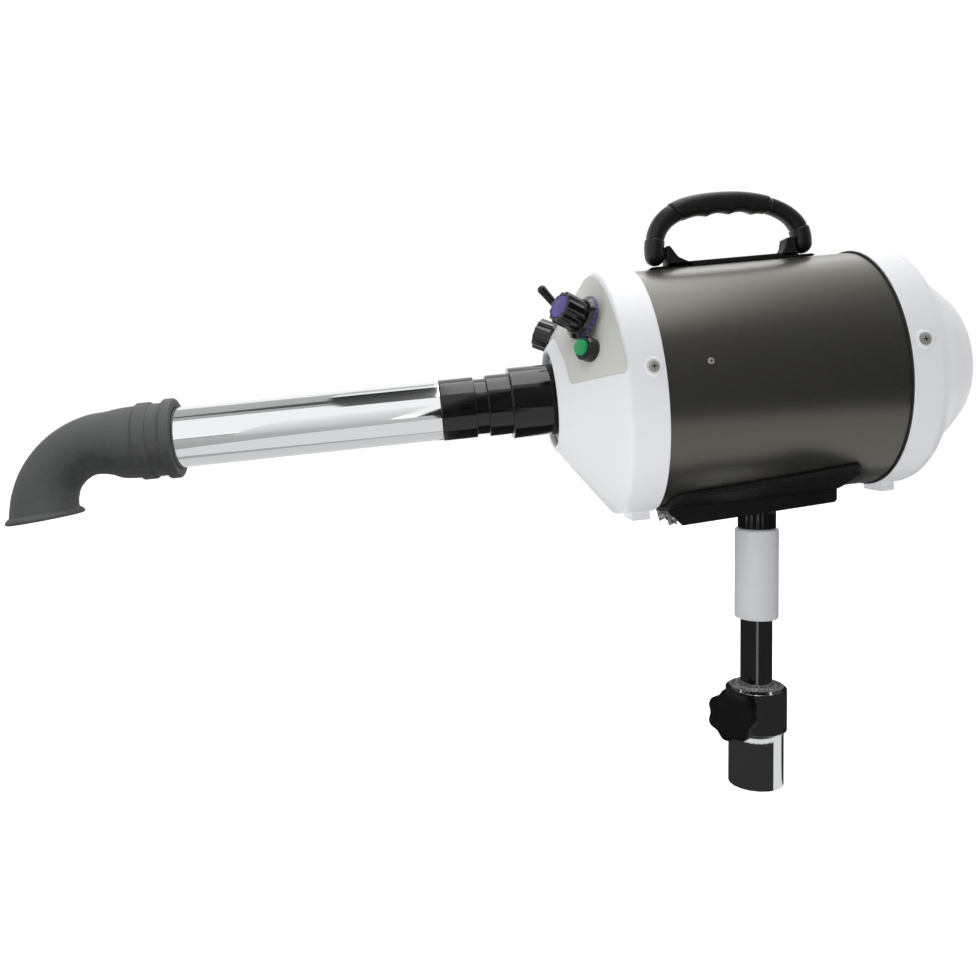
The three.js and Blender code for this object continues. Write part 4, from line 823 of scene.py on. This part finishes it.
def eased(stations, steps):
    """Stations between the given ones, on a Catmull-Rom curve."""
    rows = []
    last = len(stations) - 1
    for i in range(last):
        a, b, c, d = (stations[min(max(i + k, 0), last)] for k in (-1, 0, 1, 2))
        for s in range(steps):
            t = s / steps
            rows.append(tuple(
                q + ((r - p) * t + (2 * p - 5 * q + 4 * r - u) * t**2 + (3 * q - p - 3 * r + u) * t**3) / 2
                for p, q, r, u in zip(a, b, c, d)
            ))
    return rows + [stations[last]]


tail_skin = [(DRUM_REAR + back, radius) for back, radius in eased(TAIL_SKIN, 3)]
tail_lining = [(along - TAIL_WALL, radius - TAIL_WALL) for along, radius in tail_skin[::3]]
tail_outline = (
    [(DRUM_REAR, DRUM_R + FIT), (DRUM_REAR, TAIL_R - 0.5), (DRUM_REAR + 0.5, TAIL_R)] + tail_skin
    + [(DRUM_REAR + 80.8, 38.1), (DRUM_REAR + 78.4, 37.9)] + tail_lining[::-1]
    + [(DRUM_REAR + TUCK + FIT, DRUM_R - DRUM_WALL), (DRUM_REAR + TUCK + FIT, DRUM_R + FIT)]
)
add_piece(
    "tail", turned(tail_outline, 192),
    HEAD, white_abs, "head", "white_plastic", "rear_cover", crease=35,
)


# ----------------------------------------
# Intake grille: a low white ABS dome clipped in the tail's crown, with a hub, a rim and ten slats
# between radial slots.
def set_round(name, fixed, copied, place, material, count, first, step, crease=30):
    """A piece of one fixed form and copies of a second, set out round local X by Geometry Nodes; degrees."""
    made = make_piece(name, fixed, Matrix.Identity(4), material, crease)
    one = make_piece(name + "_one", copied, Matrix.Identity(4), material, crease)
    tree = bpy.data.node_groups.new(name + "_layout", "GeometryNodeTree")
    inputs = {"Geometry": "Geometry", "Copied": "Object", "Count": "Int", "First": "Float", "Step": "Float",
              "Material": "Material"}
    for label, kind in inputs.items():
        tree.interface.new_socket(label, in_out="INPUT", socket_type="NodeSocket" + kind)
    tree.interface.new_socket("Geometry", in_out="OUTPUT", socket_type="NodeSocketGeometry")
    given = add_node(tree, "NodeGroupInput").outputs
    points = add_node(tree, "GeometryNodeMeshLine", {"Count": given["Count"], "Offset": (0, 0, 0)})
    index = add_node(tree, "GeometryNodeInputIndex")
    turn = add_node(tree, "ShaderNodeMath", {0: index.outputs[0], 1: given["Step"], 2: given["First"]},
                    operation="MULTIPLY_ADD")
    turns = add_node(tree, "ShaderNodeCombineXYZ", {"X": turn.outputs[0]})
    source = add_node(tree, "GeometryNodeObjectInfo", {"Object": given["Copied"]})
    copies = add_node(tree, "GeometryNodeInstanceOnPoints",
                      {"Points": points.outputs[0], "Instance": source.outputs["Geometry"],
                       "Rotation": turns.outputs[0]})
    joined = add_node(tree, "GeometryNodeJoinGeometry", {"Geometry": copies.outputs[0]})
    tree.links.new(given["Geometry"], joined.inputs[0])
    real = add_node(tree, "GeometryNodeRealizeInstances", {"Geometry": joined.outputs[0]})
    coated = add_node(
        tree, "GeometryNodeSetMaterial", {"Geometry": real.outputs[0], "Material": given["Material"]})
    add_node(tree, "NodeGroupOutput", {"Geometry": coated.outputs[0]})
    layout = made.modifiers.new("layout", "NODES")
    layout.node_group = tree
    values = {"Copied": one, "Count": count, "First": radians(first), "Step": radians(step),
              "Material": material}
    for item in tree.interface.items_tree:
        if item.in_out == "INPUT" and item.name in values:
            layout[item.identifier] = values[item.name]
    plain = bpy.data.meshes.new_from_object(made.evaluated_get(bpy.context.evaluated_depsgraph_get()))
    made.modifiers.remove(layout)
    made.data = plain
    plain.transform(place)
    bpy.data.objects.remove(one)
    return made


GRILLE_R = 37.6
GRILLE_AT = DRUM_REAR + 81
GRILLE_RISE = 6.9
GRILLE_WALL = 2.0
SLOTS = 10
SLOT_HALF = 1.4
SLOT_REACH = (0.29, 0.87)  # shares of the grille's radius
SLAT_HOLD = 0.015  # the slats run on by this share, into the hub and the rim


def crown(share):
    """A point of the grille's dome as (along, radius), at that share of its radius."""
    return GRILLE_AT + GRILLE_RISE * (1 - share**2.6), share * GRILLE_R


def crown_ring(first, last, steps=6):
    """A closed outline of the dome between two shares of its radius."""
    rim = [crown(first + (last - first) * i / steps) for i in range(steps + 1)]
    return rim + [(along - GRILLE_WALL, radius) for along, radius in rim[::-1]]


def crown_slat(steps=8, across=6):
    """The solid strip between two slots, a little into the hub and the rim at its ends."""
    sections = []
    for i in range(steps + 1):
        share = SLOT_REACH[0] - SLAT_HOLD + (SLOT_REACH[1] - SLOT_REACH[0] + 2 * SLAT_HOLD) * i / steps
        along, radius = crown(share)
        half = pi / SLOTS - asin(SLOT_HALF / radius)
        turns = [half * (2 * j / across - 1) for j in range(across + 1)]
        top = [(along, radius * cos(t), radius * sin(t)) for t in turns]
        sections.append(top + [(x - GRILLE_WALL, y, z) for x, y, z in top[::-1]])
    return loft(sections)


def both(first, second):
    """Two closed forms as one."""
    count = len(first[0])
    return first[0] + second[0], first[1] + [tuple(i + count for i in face) for face in second[1]]


hub_and_rim = both(turned(crown_ring(0, SLOT_REACH[0]), 96), turned(crown_ring(SLOT_REACH[1], 1), 96))
grille = set_round(
    "intake_grille_slats", hub_and_rim, crown_slat(), HEAD, white_abs, SLOTS, 0, 360 / SLOTS, 40)
dress(grille, "head", "white_plastic", "intake_grille")


# ----------------------------------------
# Filter foam: a dark open-cell pad cut to a disc, laid behind the grille. The cable gland in the tail is
# moulded in glossy black plastic.
# Open-cell foam: dark pores that swallow the light.
foam = worn("filter_foam", "#2b2c30", 0.9, 1.0, 1.2, bump=0.5)
finish_node("filter_foam", foam)
finish_node("cable_gland", gloss_black)


# ----------------------------------------
# Label: a plain grey polyester film with round corners, wrapped over the top of the cone. Its back is
# glued to the cone.
LABEL_ENDS = (9.4, 170.6)  # degrees round the drum
LABEL_SLANT = 1.0  # its lower edges rise this many degrees either way from back to front
LABEL_CORNER = 4.0
LABEL_LIFT = 0.35
LABEL_THICK = 0.45
LABEL_R = 72.0  # the cone's radius under the middle of the film


def label_edges(degrees):
    """Where the film starts and stops along the body, at that angle."""
    side = min(degrees, 180 - degrees) - LABEL_ENDS[0]
    return -153.0 - min(0.065 * side, 2.7), -119.4 - 0.048 * side


def label_rings(steps=150, span=12):
    """Sections of the film from its near end over the top to its far end; each follows the cone's slope."""
    rings = []
    for k in range(steps + 1):
        share = 0.5 - 0.5 * cos(pi * k / steps)
        degrees = LABEL_ENDS[0] + (LABEL_ENDS[1] - LABEL_ENDS[0]) * share
        edge = radians(min(degrees - LABEL_ENDS[0], LABEL_ENDS[1] - degrees)) * LABEL_R
        trim = LABEL_CORNER - sqrt(max(LABEL_CORNER**2 - max(LABEL_CORNER - edge, 0) ** 2, 0))
        trim *= cos(CONE_TILT)
        low, high = label_edges(degrees)
        low, high = low + trim, high - trim
        top = [low + (high - low) * i / span for i in range(span + 1)]
        slant = LABEL_SLANT * cos(radians(degrees))
        turns = [degrees + slant * (1 - 2 * i / span) for i in range(span + 1)]
        lift = LABEL_LIFT / cos(CONE_TILT)
        thick = LABEL_THICK / cos(CONE_TILT)
        rings.append(
            [round_drum(a, cone_radius(a) + lift, t) for a, t in zip(top, turns)]
            + [round_drum(a, cone_radius(a) + lift + thick, t) for a, t in zip(top[::-1], turns[::-1])]
        )
    return rings


# Matt polyester film: an even grey with a weak satin sheen.
film = worn("grey_polyester_film", "#c9cac3", 0.38, 0.5, 10)
add_piece(
    "control_label", loft(label_rings()),
    HEAD, film, "head", "grey_plastic", "control_label", crease=40,
)


# ----------------------------------------
# Cover screws: zinc-plated pan heads with a cross recess, each in a low round boss of the white cover. A
# smaller screw of the same kind stands in the drum's side.
NOSE_SCREW_AT = -99.7
TAIL_SCREW_AT = 104.1
SCREW_ANGLES = (9.5, 170.5)
SHELL_SCREW_AT = (-57.4, 9.6)
COVER_HEAD_R = 3.9
SHELL_HEAD_R = 2.5
SEATED = 0.1  # how far a boss or the shell screw sinks in the surface under it
PAN_FACE = 1.3  # height of the head's face
RECESS_SHARE = 0.55  # of the head's radius; everything within it and below the face is painted dark as shade
SCREW_BOSS = [
    # height over the cover, radius, fillet
    (-1.2, 4.5, 0), (-1.2, 7.6, 0), (0.2, 7.2, 0.8), (1.0, 6.2, 0.5), (1.0, 5.2, 0.4), (-0.4, 4.5, 0),
]


def on_cover(along, radius, degrees):
    """A place on the drum's skin, with local X pointing straight out of it."""
    angle = radians(degrees)
    out = Vector((0, -cos(angle), sin(angle)))
    turn = out.to_track_quat("X", "Z").to_matrix().to_4x4()
    return HEAD @ Matrix.Translation(Vector(round_drum(along, radius, degrees)) * MM) @ turn


# Painted shade for the recess: a dark cross without shine.
recess_shade_paint = worn("recess_painted_shade", "#141412", 0.7, 0.9, 0.5)
# Zinc plate gone dull: pale grey, without clear mirrors.
dull_steel = worn("dulled_zinc_plate", "#94938b", 0.42, 0.58, 0.8, metallic=0.3)


def cross_screw(name, place, head_r, node, facets=96):
    """A pan head whose face sinks into a recess with four arms."""
    turns = [2 * pi * k / facets for k in range(facets)]

    def ring(along, reach):
        return [(along, reach(a) * cos(a), reach(a) * sin(a)) for a in turns]

    def arms(share):
        return lambda a: share * head_r * (0.2 + 0.42 * abs(cos(2 * a)) ** 7)

    def circle(share):
        return lambda a: share * head_r

    rings = [ring(-3, circle(0.5)), ring(0, circle(0.5)), ring(0, circle(1)), ring(0.6, circle(1)),
             ring(1.05, circle(0.93)), ring(PAN_FACE, circle(0.76)), ring(1.4, arms(1.0)),
             ring(0.3, arms(0.6))]
    head = make_piece(name, loft(rings), place, dull_steel)
    axis = place.inverted()

    def in_recess(centre, normal):
        at = axis @ centre
        return at.yz.length < RECESS_SHARE * head_r * MM and 0 < at.x < PAN_FACE * MM

    # The recess faces are painted dark, as painted shade.
    paint_faces(head, recess_shade_paint, in_recess)
    dress(head, "head", "steel", node)


for number, degrees in enumerate(SCREW_ANGLES, 1):
    for end, along in (("nose", NOSE_SCREW_AT), ("tail", TAIL_SCREW_AT)):
        name = end + "_screw_" + str(number)
        cross_screw(name, on_cover(along, COVER_R - 2 * SEATED, degrees), COVER_HEAD_R, name)
        add_piece(
            end + "_boss_" + str(number), turned(SCREW_BOSS, 48),
            on_cover(along, COVER_R - SEATED, degrees), white_abs, "head", "white_plastic",
        )
shell_place = on_cover(SHELL_SCREW_AT[0], DRUM_R - SEATED, SHELL_SCREW_AT[1])
cross_screw("shell_screw", shell_place, SHELL_HEAD_R, "shell_screw")


# ----------------------------------------
# Feet: two short white ABS pads with rounded edges, moulded in one with the undersides of the nose and
# the tail.
FOOT_WIDE = 30.0
FOOT_DROP = 5.5
FOOT_ROOT = 2.5  # how far it runs up into the cover
# start and length along the body
FEET = {"nose_foot": (DRUM_FRONT - 17.6, 15.0), "tail_foot": (DRUM_REAR + 7, 12.0)}
for name, (start, length) in FEET.items():
    low, high = -COVER_R - FOOT_DROP, -COVER_R + FOOT_ROOT
    end = start + length
    outline = filleted([(start, low, 1.2), (end, low, 1.2), (end, high, 0), (start, high, 0)])
    foot = make_piece(name, plate(outline, -FOOT_WIDE / 2, FOOT_WIDE / 2), HEAD, white_abs)
    dress(soften(foot, 0.9), "head", "white_plastic")


# ----------------------------------------
# Speed knob: moulded in glossy black ABS and fluted, with a purple cap sunk in its face and purple scale
# marks printed on its skirt. Like every control it stands square to the cone's surface.
SEATS = {
    # along the body, degrees round it
    "speed": (-134.9, 45.8), "button": (-137.1, 26.4), "toggle": (-142.0, 93.0), "heat": (-141.0, 135.0),
}


def seat(name):
    """A place on the cone: local X points out of its surface, local Z up the cone."""
    along, degrees = SEATS[name]
    angle = radians(degrees)
    slope, level = sin(CONE_TILT), cos(CONE_TILT)
    out = Vector((-slope, -level * cos(angle), level * sin(angle)))
    up = Vector((level, -slope * cos(angle), slope * sin(angle)))
    side = up.cross(out)
    turn = Matrix([out, side, up]).transposed().to_4x4()
    return HEAD @ Matrix.Translation(Vector(round_drum(along, cone_radius(along), degrees)) * MM) @ turn


# ABS dyed right through: an even purple with a soft light.
purple = worn("purple_abs", "#493b88", 0.35, 0.45, 4)
SPEED_SKIRT = [(5, 2, 0), (5, 16.6, 0.3), (7.4, 16.6, 0.5), (10.4, 13.6, 0.5), (10.4, 2, 0)]
SPEED_R = 12.4
SPEED_SECTIONS = [(10, 0), (27.4, 0), (28.1, 0.3), (28.4, 1.1), (28.4, 2.6), (27.2, 3.0)]
KNOB_FLUTES = 12
KNOB_FLUTE_DEPTH = 1.1
add_piece(
    "speed_skirt", turned(SPEED_SKIRT, 96),
    seat("speed"), gloss_black, "speed_knob", "gloss_black",
)
MARKS = 16
MARK_TURNS = (-100, 14)  # degrees to the first mark, then from mark to mark
MARK_AT = (7.7, 0, 16.3)  # the foot of a mark on the skirt's slope
MARK_HALF = 1.7
MARK_TALL = 2.2
# Printed ink: thin, dark purple dashes.
print_purple = worn("printed_purple", "#2b2264", 0.3, 0.4, 3)
mark = plate([(-0.1, 0), (0.12, 0), (0.12, MARK_TALL), (-0.1, MARK_TALL)], -MARK_HALF, MARK_HALF)
slope = Matrix.Translation(MARK_AT) @ Matrix.Rotation(radians(-45), 4, "Y")
sloped = ([slope @ Vector(point) for point in mark[0]], mark[1])
scale = set_round("speed_scale", ([], []), sloped, seat("speed"), print_purple, MARKS, *MARK_TURNS)
dress(scale, "speed_knob", "purple_plastic")
add_piece(
    "speed_knob", lobed(SPEED_R, KNOB_FLUTE_DEPTH, KNOB_FLUTES, SPEED_SECTIONS, 192, 0.7),
    seat("speed"), gloss_black, "speed_knob", "gloss_black", "speed_knob", crease=40,
)
add_piece(
    "speed_cap", turned([(27, 0, 0), (27, 8.8, 0), (28.7, 8.8, 0.6), (29.3, 0, 0)], 64),
    seat("speed"), purple, "speed_knob", "purple_plastic", "speed_knob_cap",
)


# ----------------------------------------
# Heat knob: fluted like the speed knob and moulded all in glossy black ABS. It is pushed on its control's
# shaft, on the far side of the cone.
HEAT_R = 13.6
HEAT_FROM = 6.4
HEAT_SECTIONS = [(HEAT_FROM, 0)] + rounded_ends(HEAT_FROM, 21.4, 0.8)[6:]  # only its face is rounded
add_piece(
    "heat_flange", turned([(3.4, 2, 0), (3.4, 14.6, 0.3), (7.3, 14.6, 0.8), (7.3, 2, 0)], 96),
    seat("heat"), gloss_black, "heat_knob", "gloss_black",
)
add_piece(
    "heat_knob", lobed(HEAT_R, KNOB_FLUTE_DEPTH, KNOB_FLUTES, HEAT_SECTIONS, 192, 0.6),
    seat("heat"), gloss_black, "heat_knob", "gloss_black", "heat_knob", crease=40,
)


# ----------------------------------------
# Push button: a green acrylic cap that slides in a glossy black ABS bezel. Both come from polished moulds,
# and the bezel is pushed through the cone.
BUTTON_R = 6.0
BEZEL_BORE = 6.3
# Polished acrylic: a strong green with a small sharp light.
green = worn("green_acrylic", "#0b924f", 0.12, 0.2, 5)
add_piece(
    "button_bezel",
    turned([
        (0.8, BEZEL_BORE, 0), (0.8, 9.1, 0), (8.3, 8.9, 0.6), (9.7, 7.6, 0.5), (9.7, BEZEL_BORE, 0.2),
    ], 64),
    seat("button"), gloss_black, "head", "gloss_black", "button_bezel",
)
add_piece(
    "ion_button",
    turned([(3.6, 0, 0), (3.6, BUTTON_R, 0), (13.2, BUTTON_R, 1.3), (13.9, 0, 0)], 64),
    seat("button"), green, "ion_button", "green_plastic", "ion_button",
)


# ----------------------------------------
# Toggle switch: a moulded black bat lever in a turned and zinc-plated steel bush, which its flange holds
# on the cone.
TOGGLE_TILT = radians(18)
TOGGLE_PIVOT = 4.0
add_piece(
    "toggle_bush",
    turned([
        (1, 2.6, 0), (1, 7.8, 0.3), (3, 7.8, 0.3), (3, 6, 0), (7, 5.6, 0.4), (7, 4, 0.3), (4, 2.6, 0),
    ], 48),
    seat("toggle"), zinc, "head", "steel", "toggle_body",
)
lever_place = (
    seat("toggle") @ Matrix.Translation((TOGGLE_PIVOT * MM, 0, 0)) @ Matrix.Rotation(-TOGGLE_TILT, 4, "Y")
)
add_piece(
    "toggle_lever",
    turned([
        (0, 0, 0), (0, 2.2, 0), (4, 2.6, 2), (9, 3.2, 3), (18, 3.4, 6), (24, 3.7, 1.8), (26.6, 2.6, 2.2),
        (26.6, 0, 0),
    ], 48),
    lever_place, gloss_black, "toggle_lever", "gloss_black", "toggle_lever",
)


# ----------------------------------------
# Handle: a grip of soft black elastomer, moulded in five lengths with fine seams between them and with
# finger crests on the inside of its arch.
HANDLE_MID = -2.6
ARCH_BASE = 108.0  # the pins' height, where both outlines of the arch start
ARCH_OUTER = (70.1, 46.2, 2.32)  # half width, height and exponent of a superellipse
ARCH_INNER = (54.5, 29.5, 2.55)
ARCH_LEAN = (116.0, 0.0052)  # the arch leans to the nose above this height, by this times the rest squared
GRIP_DEEP = 9.7
CAP_HALF = 7.9
CAP_LOW = 8.2
CAP_DEEP = 9.2
CAP_DROP = 1.3  # its middle is this far below the pins
FINGER_PITCH = 19.3
FINGER_FIRST = 10.3
FINGER_CREST = 2.0
FINGER_REACH = 29.0
SEAMS = (14, 55, 125, 166)  # degrees round the arch
WAIST = 0.7  # the two parts between the seams are this much slimmer
SEAM_GROOVE = (1.1, 0.8)  # depth in mm, half width in degrees
SQUARENESS = 0.85  # of the grip's section: 1 is an ellipse, less is squarer

# Soft-touch elastomer: black with a wide, dim light. Its texture is drawn coarser to show.
soft_black = worn("soft_touch_tpe", "#10110f", 0.38, 0.5, 0.6, bump=0.02, specular=0.4)


def power(value, exponent):
    """The size of the value to that exponent, with the value's sign."""
    return copysign(abs(value) ** exponent, value)


def arch(angle, shape):
    """A point of a leaning superellipse arch, from its left foot over the top to its right foot."""
    wide, high, exponent = shape
    up = ARCH_BASE + high * power(sin(angle), 2 / exponent)
    start, lean = ARCH_LEAN
    middle = HANDLE_MID - lean * max(up - start, 0) ** 2
    return Vector((middle - wide * power(cos(angle), 2 / exponent), up))


def grip_section(middle, across, half, deep, sides=40):
    """A rounded section about that (along, up) point: half to both sides along across, deep in local Y."""
    ring = []
    for k in range(sides):
        angle = 2 * pi * k / sides
        u = power(cos(angle), SQUARENESS) * half
        v = power(sin(angle), SQUARENESS) * deep
        ring.append((middle.x + across.x * u, v, middle.y + across.y * u))
    return ring


def cap_sections(side):
    """Sections of an end cap's round foot, from its lowest point up to the pins."""
    middle = HANDLE_MID + side * (ARCH_OUTER[0] - CAP_HALF)
    rings = []
    for k in range(9):
        angle = radians(-88 + 11 * k)
        rings.append(grip_section(
            Vector((middle, ARCH_BASE - CAP_DROP + CAP_LOW * sin(angle))), Vector((side, 0)),
            CAP_HALF * cos(angle), CAP_DEEP * cos(angle),
        ))
    return rings


def arch_sections(steps=180, first=2):
    """Sections over the arch, with finger crests below and a groove at each seam between the mouldings."""
    rings = []
    groove, spread = SEAM_GROOVE
    for k in range(steps + 1):
        degrees = first + (180 - 2 * first) * k / steps
        angle = radians(degrees)
        outer, inner = arch(angle, ARCH_OUTER), arch(angle, ARCH_INNER)
        across = (outer - inner).normalized()
        if abs(inner.x) < FINGER_REACH:
            wave = abs(cos(pi * (inner.x - FINGER_FIRST) / FINGER_PITCH))
            inner -= across * FINGER_CREST * (1 - wave)
        slim = WAIST if SEAMS[0] < min(degrees, 180 - degrees) < SEAMS[1] else 0.0
        slim += sum(groove * exp(-((degrees - seam) / spread) ** 2) for seam in SEAMS)
        rings.append(grip_section(
            (outer + inner) / 2, across, (outer - inner).length / 2 - slim, GRIP_DEEP - slim))
    return rings


grip_sections = cap_sections(-1) + arch_sections() + cap_sections(1)[::-1]
add_piece(
    "handle_grip", loft(grip_sections),
    HEAD, soft_black, "handle", "black_plastic", "handle_grip", crease=50,
)


# ----------------------------------------
# Handle base: a plate and two lugs, moulded in black nylon and fastened on top of the drum, with a steel
# pin through each lug that an end cap of the grip turns on.
PLATE = (-73.0, 67.5)  # along the drum
PLATE_LOW = DRUM_R + 0.6
PLATE_EDGE = PLATE_LOW + 1.6
PLATE_TOP = 99.4
BASE_HALF = 8.0
LUGS = {
    "left": [(-56.8, PLATE_LOW, 0), (-56.8, 113.0, 1.0), (-53.6, 113.0, 1.5), (-47.6, 103.6, 8),
             (-39, 99.2, 12), (-32, PLATE_LOW, 0)],
    "right": [(37, PLATE_LOW, 0), (39, 99.2, 3), (42.5, 104, 6), (44.3, 111.4, 1.5), (51.6, 112.4, 1.5),
              (51.6, PLATE_LOW, 0)],
}
plate_outline = filleted([
    (PLATE[0], PLATE_LOW, 0), (PLATE[1], PLATE_LOW, 0), (PLATE[1] - 3, PLATE_LOW + 1.4, 0.8),
    (53, PLATE_EDGE, 0), (52, PLATE_TOP, 0.5), (-57, PLATE_TOP, 0.5), (-58, PLATE_EDGE, 0),
    (PLATE[0] + 3, PLATE_LOW + 1.4, 0.8),
])
base = make_piece("handle_base", plate(plate_outline, -BASE_HALF, BASE_HALF), HEAD, moulded_black)
dress(soften(base, 0.6, 4), "head", "black_plastic", "handle_base")
for side, outline in LUGS.items():
    lug_form = plate(filleted(outline), -BASE_HALF, BASE_HALF)
    lug = make_piece("handle_lug_" + side, lug_form, HEAD, moulded_black)
    dress(soften(lug, 1.3, 4), "head", "black_plastic")
PINS = {"handle_pin_front": (-70, -53.5), "handle_pin_rear": (47.5, 64)}  # where they start and end
PINS_PLACE = HEAD @ Matrix.Translation((0, 0, ARCH_BASE * MM))
for name, (start, end) in PINS.items():
    add_piece(
        name, turned([(start, 0, 0), (start, PIN_R, 0.4), (end, PIN_R, 0.4), (end, 0, 0)], 24),
        PINS_PLACE, zinc, "head", "steel", name,
    )


# ----------------------------------------
# Coupling: a stepped sleeve moulded in glossy black ABS, pushed into the outlet, and a collar of the same
# plastic that joins the chrome tube to it.
COUPLING_BORE = 19.5
add_piece(
    "coupling_sleeve",
    turned([
        (-190.5, 21.2, 0), (-213, 21.2, 0), (-213, 24.2, 0.5), (-194.5, 24.2, 0.3), (-194.5, 28.2, 0.7),
        (-143, 28.2, 0), (-143, 25, 0), (-184.5, 25, 0), (-187.5, COUPLING_BORE, 0),
        (-190.5, COUPLING_BORE, 0),
    ], 128),
    HEAD, gloss_black, "head", "gloss_black", "coupling_sleeve",
)
add_piece(
    "tube_collar",
    turned([
        (-273.9, COUPLING_BORE, 0), (-273.9, 21.4, 0), (-249.6, 21.4, 0), (-249.6, 24, 0.5),
        (-222.5, 24, 0.5), (-222.5, 21.9, 0.3), (-213.3, 21.9, 0), (-213.3, 20.9, 0), (-190.8, 20.9, 0),
        (-190.8, COUPLING_BORE, 0),
    ], 128),
    HEAD, gloss_black, "tube", "gloss_black", "tube_collar",
)


# ----------------------------------------
# Extension tube: a thin steel tube, polished and then chromed. It is pushed over the collar's neck, and
# the elbow's cuff over its other end.
TUBE = (-478.0, -249.9)
TUBE_R = 23.2
TUBE_WALL = 1.5
add_piece(
    "extension_tube", turned(tube_outline(*TUBE, TUBE_R, TUBE_WALL), 160),
    HEAD, chrome, "tube", "chrome", "extension_tube",
)


# ----------------------------------------
# Elbow nozzle: moulded charcoal rubber with a beaded cuff and a rolled lip at its mouth. Its skin is
# matt and mottled with dust, with painted light: lighter on faces that look up, darker on faces that look
# down.
CUFF_FRONT = -450.5
CUFF_BORE = 23.6
ELBOW_WALL = 2.4
ELBOW_LINE = [
    # along, up, outer radius, flow in degrees below the tube's axis
    (-479.4, 0, 27.6, 0), (-492, 0.2, 26.6, 0), (-501, 1.1, 24.3, 2), (-511, 1.3, 23.2, 9),
    (-521.5, -1, 22.1, 22), (-531, -5.8, 21.7, 36), (-539.5, -12.8, 21.6, 50), (-546.6, -22, 22, 65),
    (-551.2, -33.2, 22.9, 79), (-552.8, -41, 23.6, 88), (-553.3, -45.5, 24.2, 94),
]


def elbow_ring(station, sides=96):
    """A ring of points square to the flow at that station."""
    along, up, radius, fall = station
    fall = radians(fall)
    lift = Vector((-sin(fall), 0, cos(fall)))
    ring = []
    for k in range(sides):
        angle = 2 * pi * k / sides
        point = Vector((along, radius * sin(angle), up)) + lift * radius * cos(angle)
        ring.append(tuple(point))
    return ring


def further(station, distance, grow):
    """The station that distance on along the flow, wider by grow."""
    along, up, radius, fall = station
    angle = radians(fall)
    return (along - distance * cos(angle), up - distance * sin(angle), radius + grow, fall)


LIP = [
    # how far along the flow past the last station, how much wider
    (1, 1.6), (2.4, 2.9), (3.8, 3.3), (4.8, 2.9), (5.2, 1.6), (4.9, 0.2), (3.6, -0.9),
]
bend = eased(ELBOW_LINE, 6)
cuff = [(along, 0, radius, 0) for along, radius in filleted([
    (CUFF_FRONT, CUFF_BORE, 0.6), (CUFF_FRONT, 30.6, 1.6), (CUFF_FRONT - 7.4, 30.6, 1.6),
    (CUFF_FRONT - 8.6, 27.9, 0.8), (-467.6, 27.9, 0.8), (-468.6, 29.4, 1.0), (-477.4, 29.4, 1.0),
    (-478.6, 27.6, 0.6),
])[1:]]
lip = [further(ELBOW_LINE[-1], distance, grow) for distance, grow in LIP]
bore = [further(station, 0, -ELBOW_WALL) for station in bend[::-1]] + [(-478.3, 0, CUFF_BORE, 0)]
outside = cuff + bend + lip
elbow_form = loft([elbow_ring(station) for station in outside + bore + [outside[0]]], closed=False)
charcoal = worn("charcoal_rubber", "#3a3b3b", 0.62, 0.85, 3.5, bump=0.12, detail=6.0)
# Random dust patches, plus painted light from above carried by the attribute: upward faces lighter, downward
# faces darker.
mottle(charcoal, "#191a1a", "#656665", (0.1, 1.0), lift="dust_and_top_light")
DUST_AND_TOP_LIGHT = (0.28, 0.6)  # painted top light over the dust: on a wall, and how much more on a level face
elbow = make_piece("elbow_nozzle", elbow_form, HEAD, charcoal, 50)
dust_and_light_share = elbow.data.attributes.new("dust_and_top_light", "FLOAT", "POINT")
dust_and_light_share.data.foreach_set("value", [max(DUST_AND_TOP_LIGHT[0] + DUST_AND_TOP_LIGHT[1] * v.normal.z, 0) for v in elbow.data.vertices])
dress(elbow, "elbow", "rubber", "elbow_nozzle")


# ----------------------------------------
# Inside the body: a pressed steel fan and its housing, the motor, rubber mounts, a heater on mica plates
# and the electronics. Each keeps its CAD shape and gets its real material.
# Mica board: pale, flat and dull.
mica = worn("mica_board", "#b9ae91", 0.5, 0.7, 4)
# Wire tinted by heat: a warm brown metal.
heater_wire = worn("heat_tinted_wire", "#9a5a3a", 0.35, 0.5, 2, metallic=1.0)
# Solder mask on glass fibre: green with a satin gloss.
circuit_board = worn("green_circuit_board", "#2c5d40", 0.45, 0.6, 5)
INSIDE = {
    zinc: (
        "fan_housing", "impeller", "motor", "motor_shaft", "thermal_cutout", "speed_control", "heat_control"),
    rubber: ("fan_mount_ring", "motor_mount"),
    moulded_black: ("air_cone", "ion_module"),
    mica: ("heater_frame",),
    heater_wire: ("heater_coil",),
    circuit_board: ("control_board",),
}
for material, nodes in INSIDE.items():
    for node in nodes:
        finish_node(node, material)
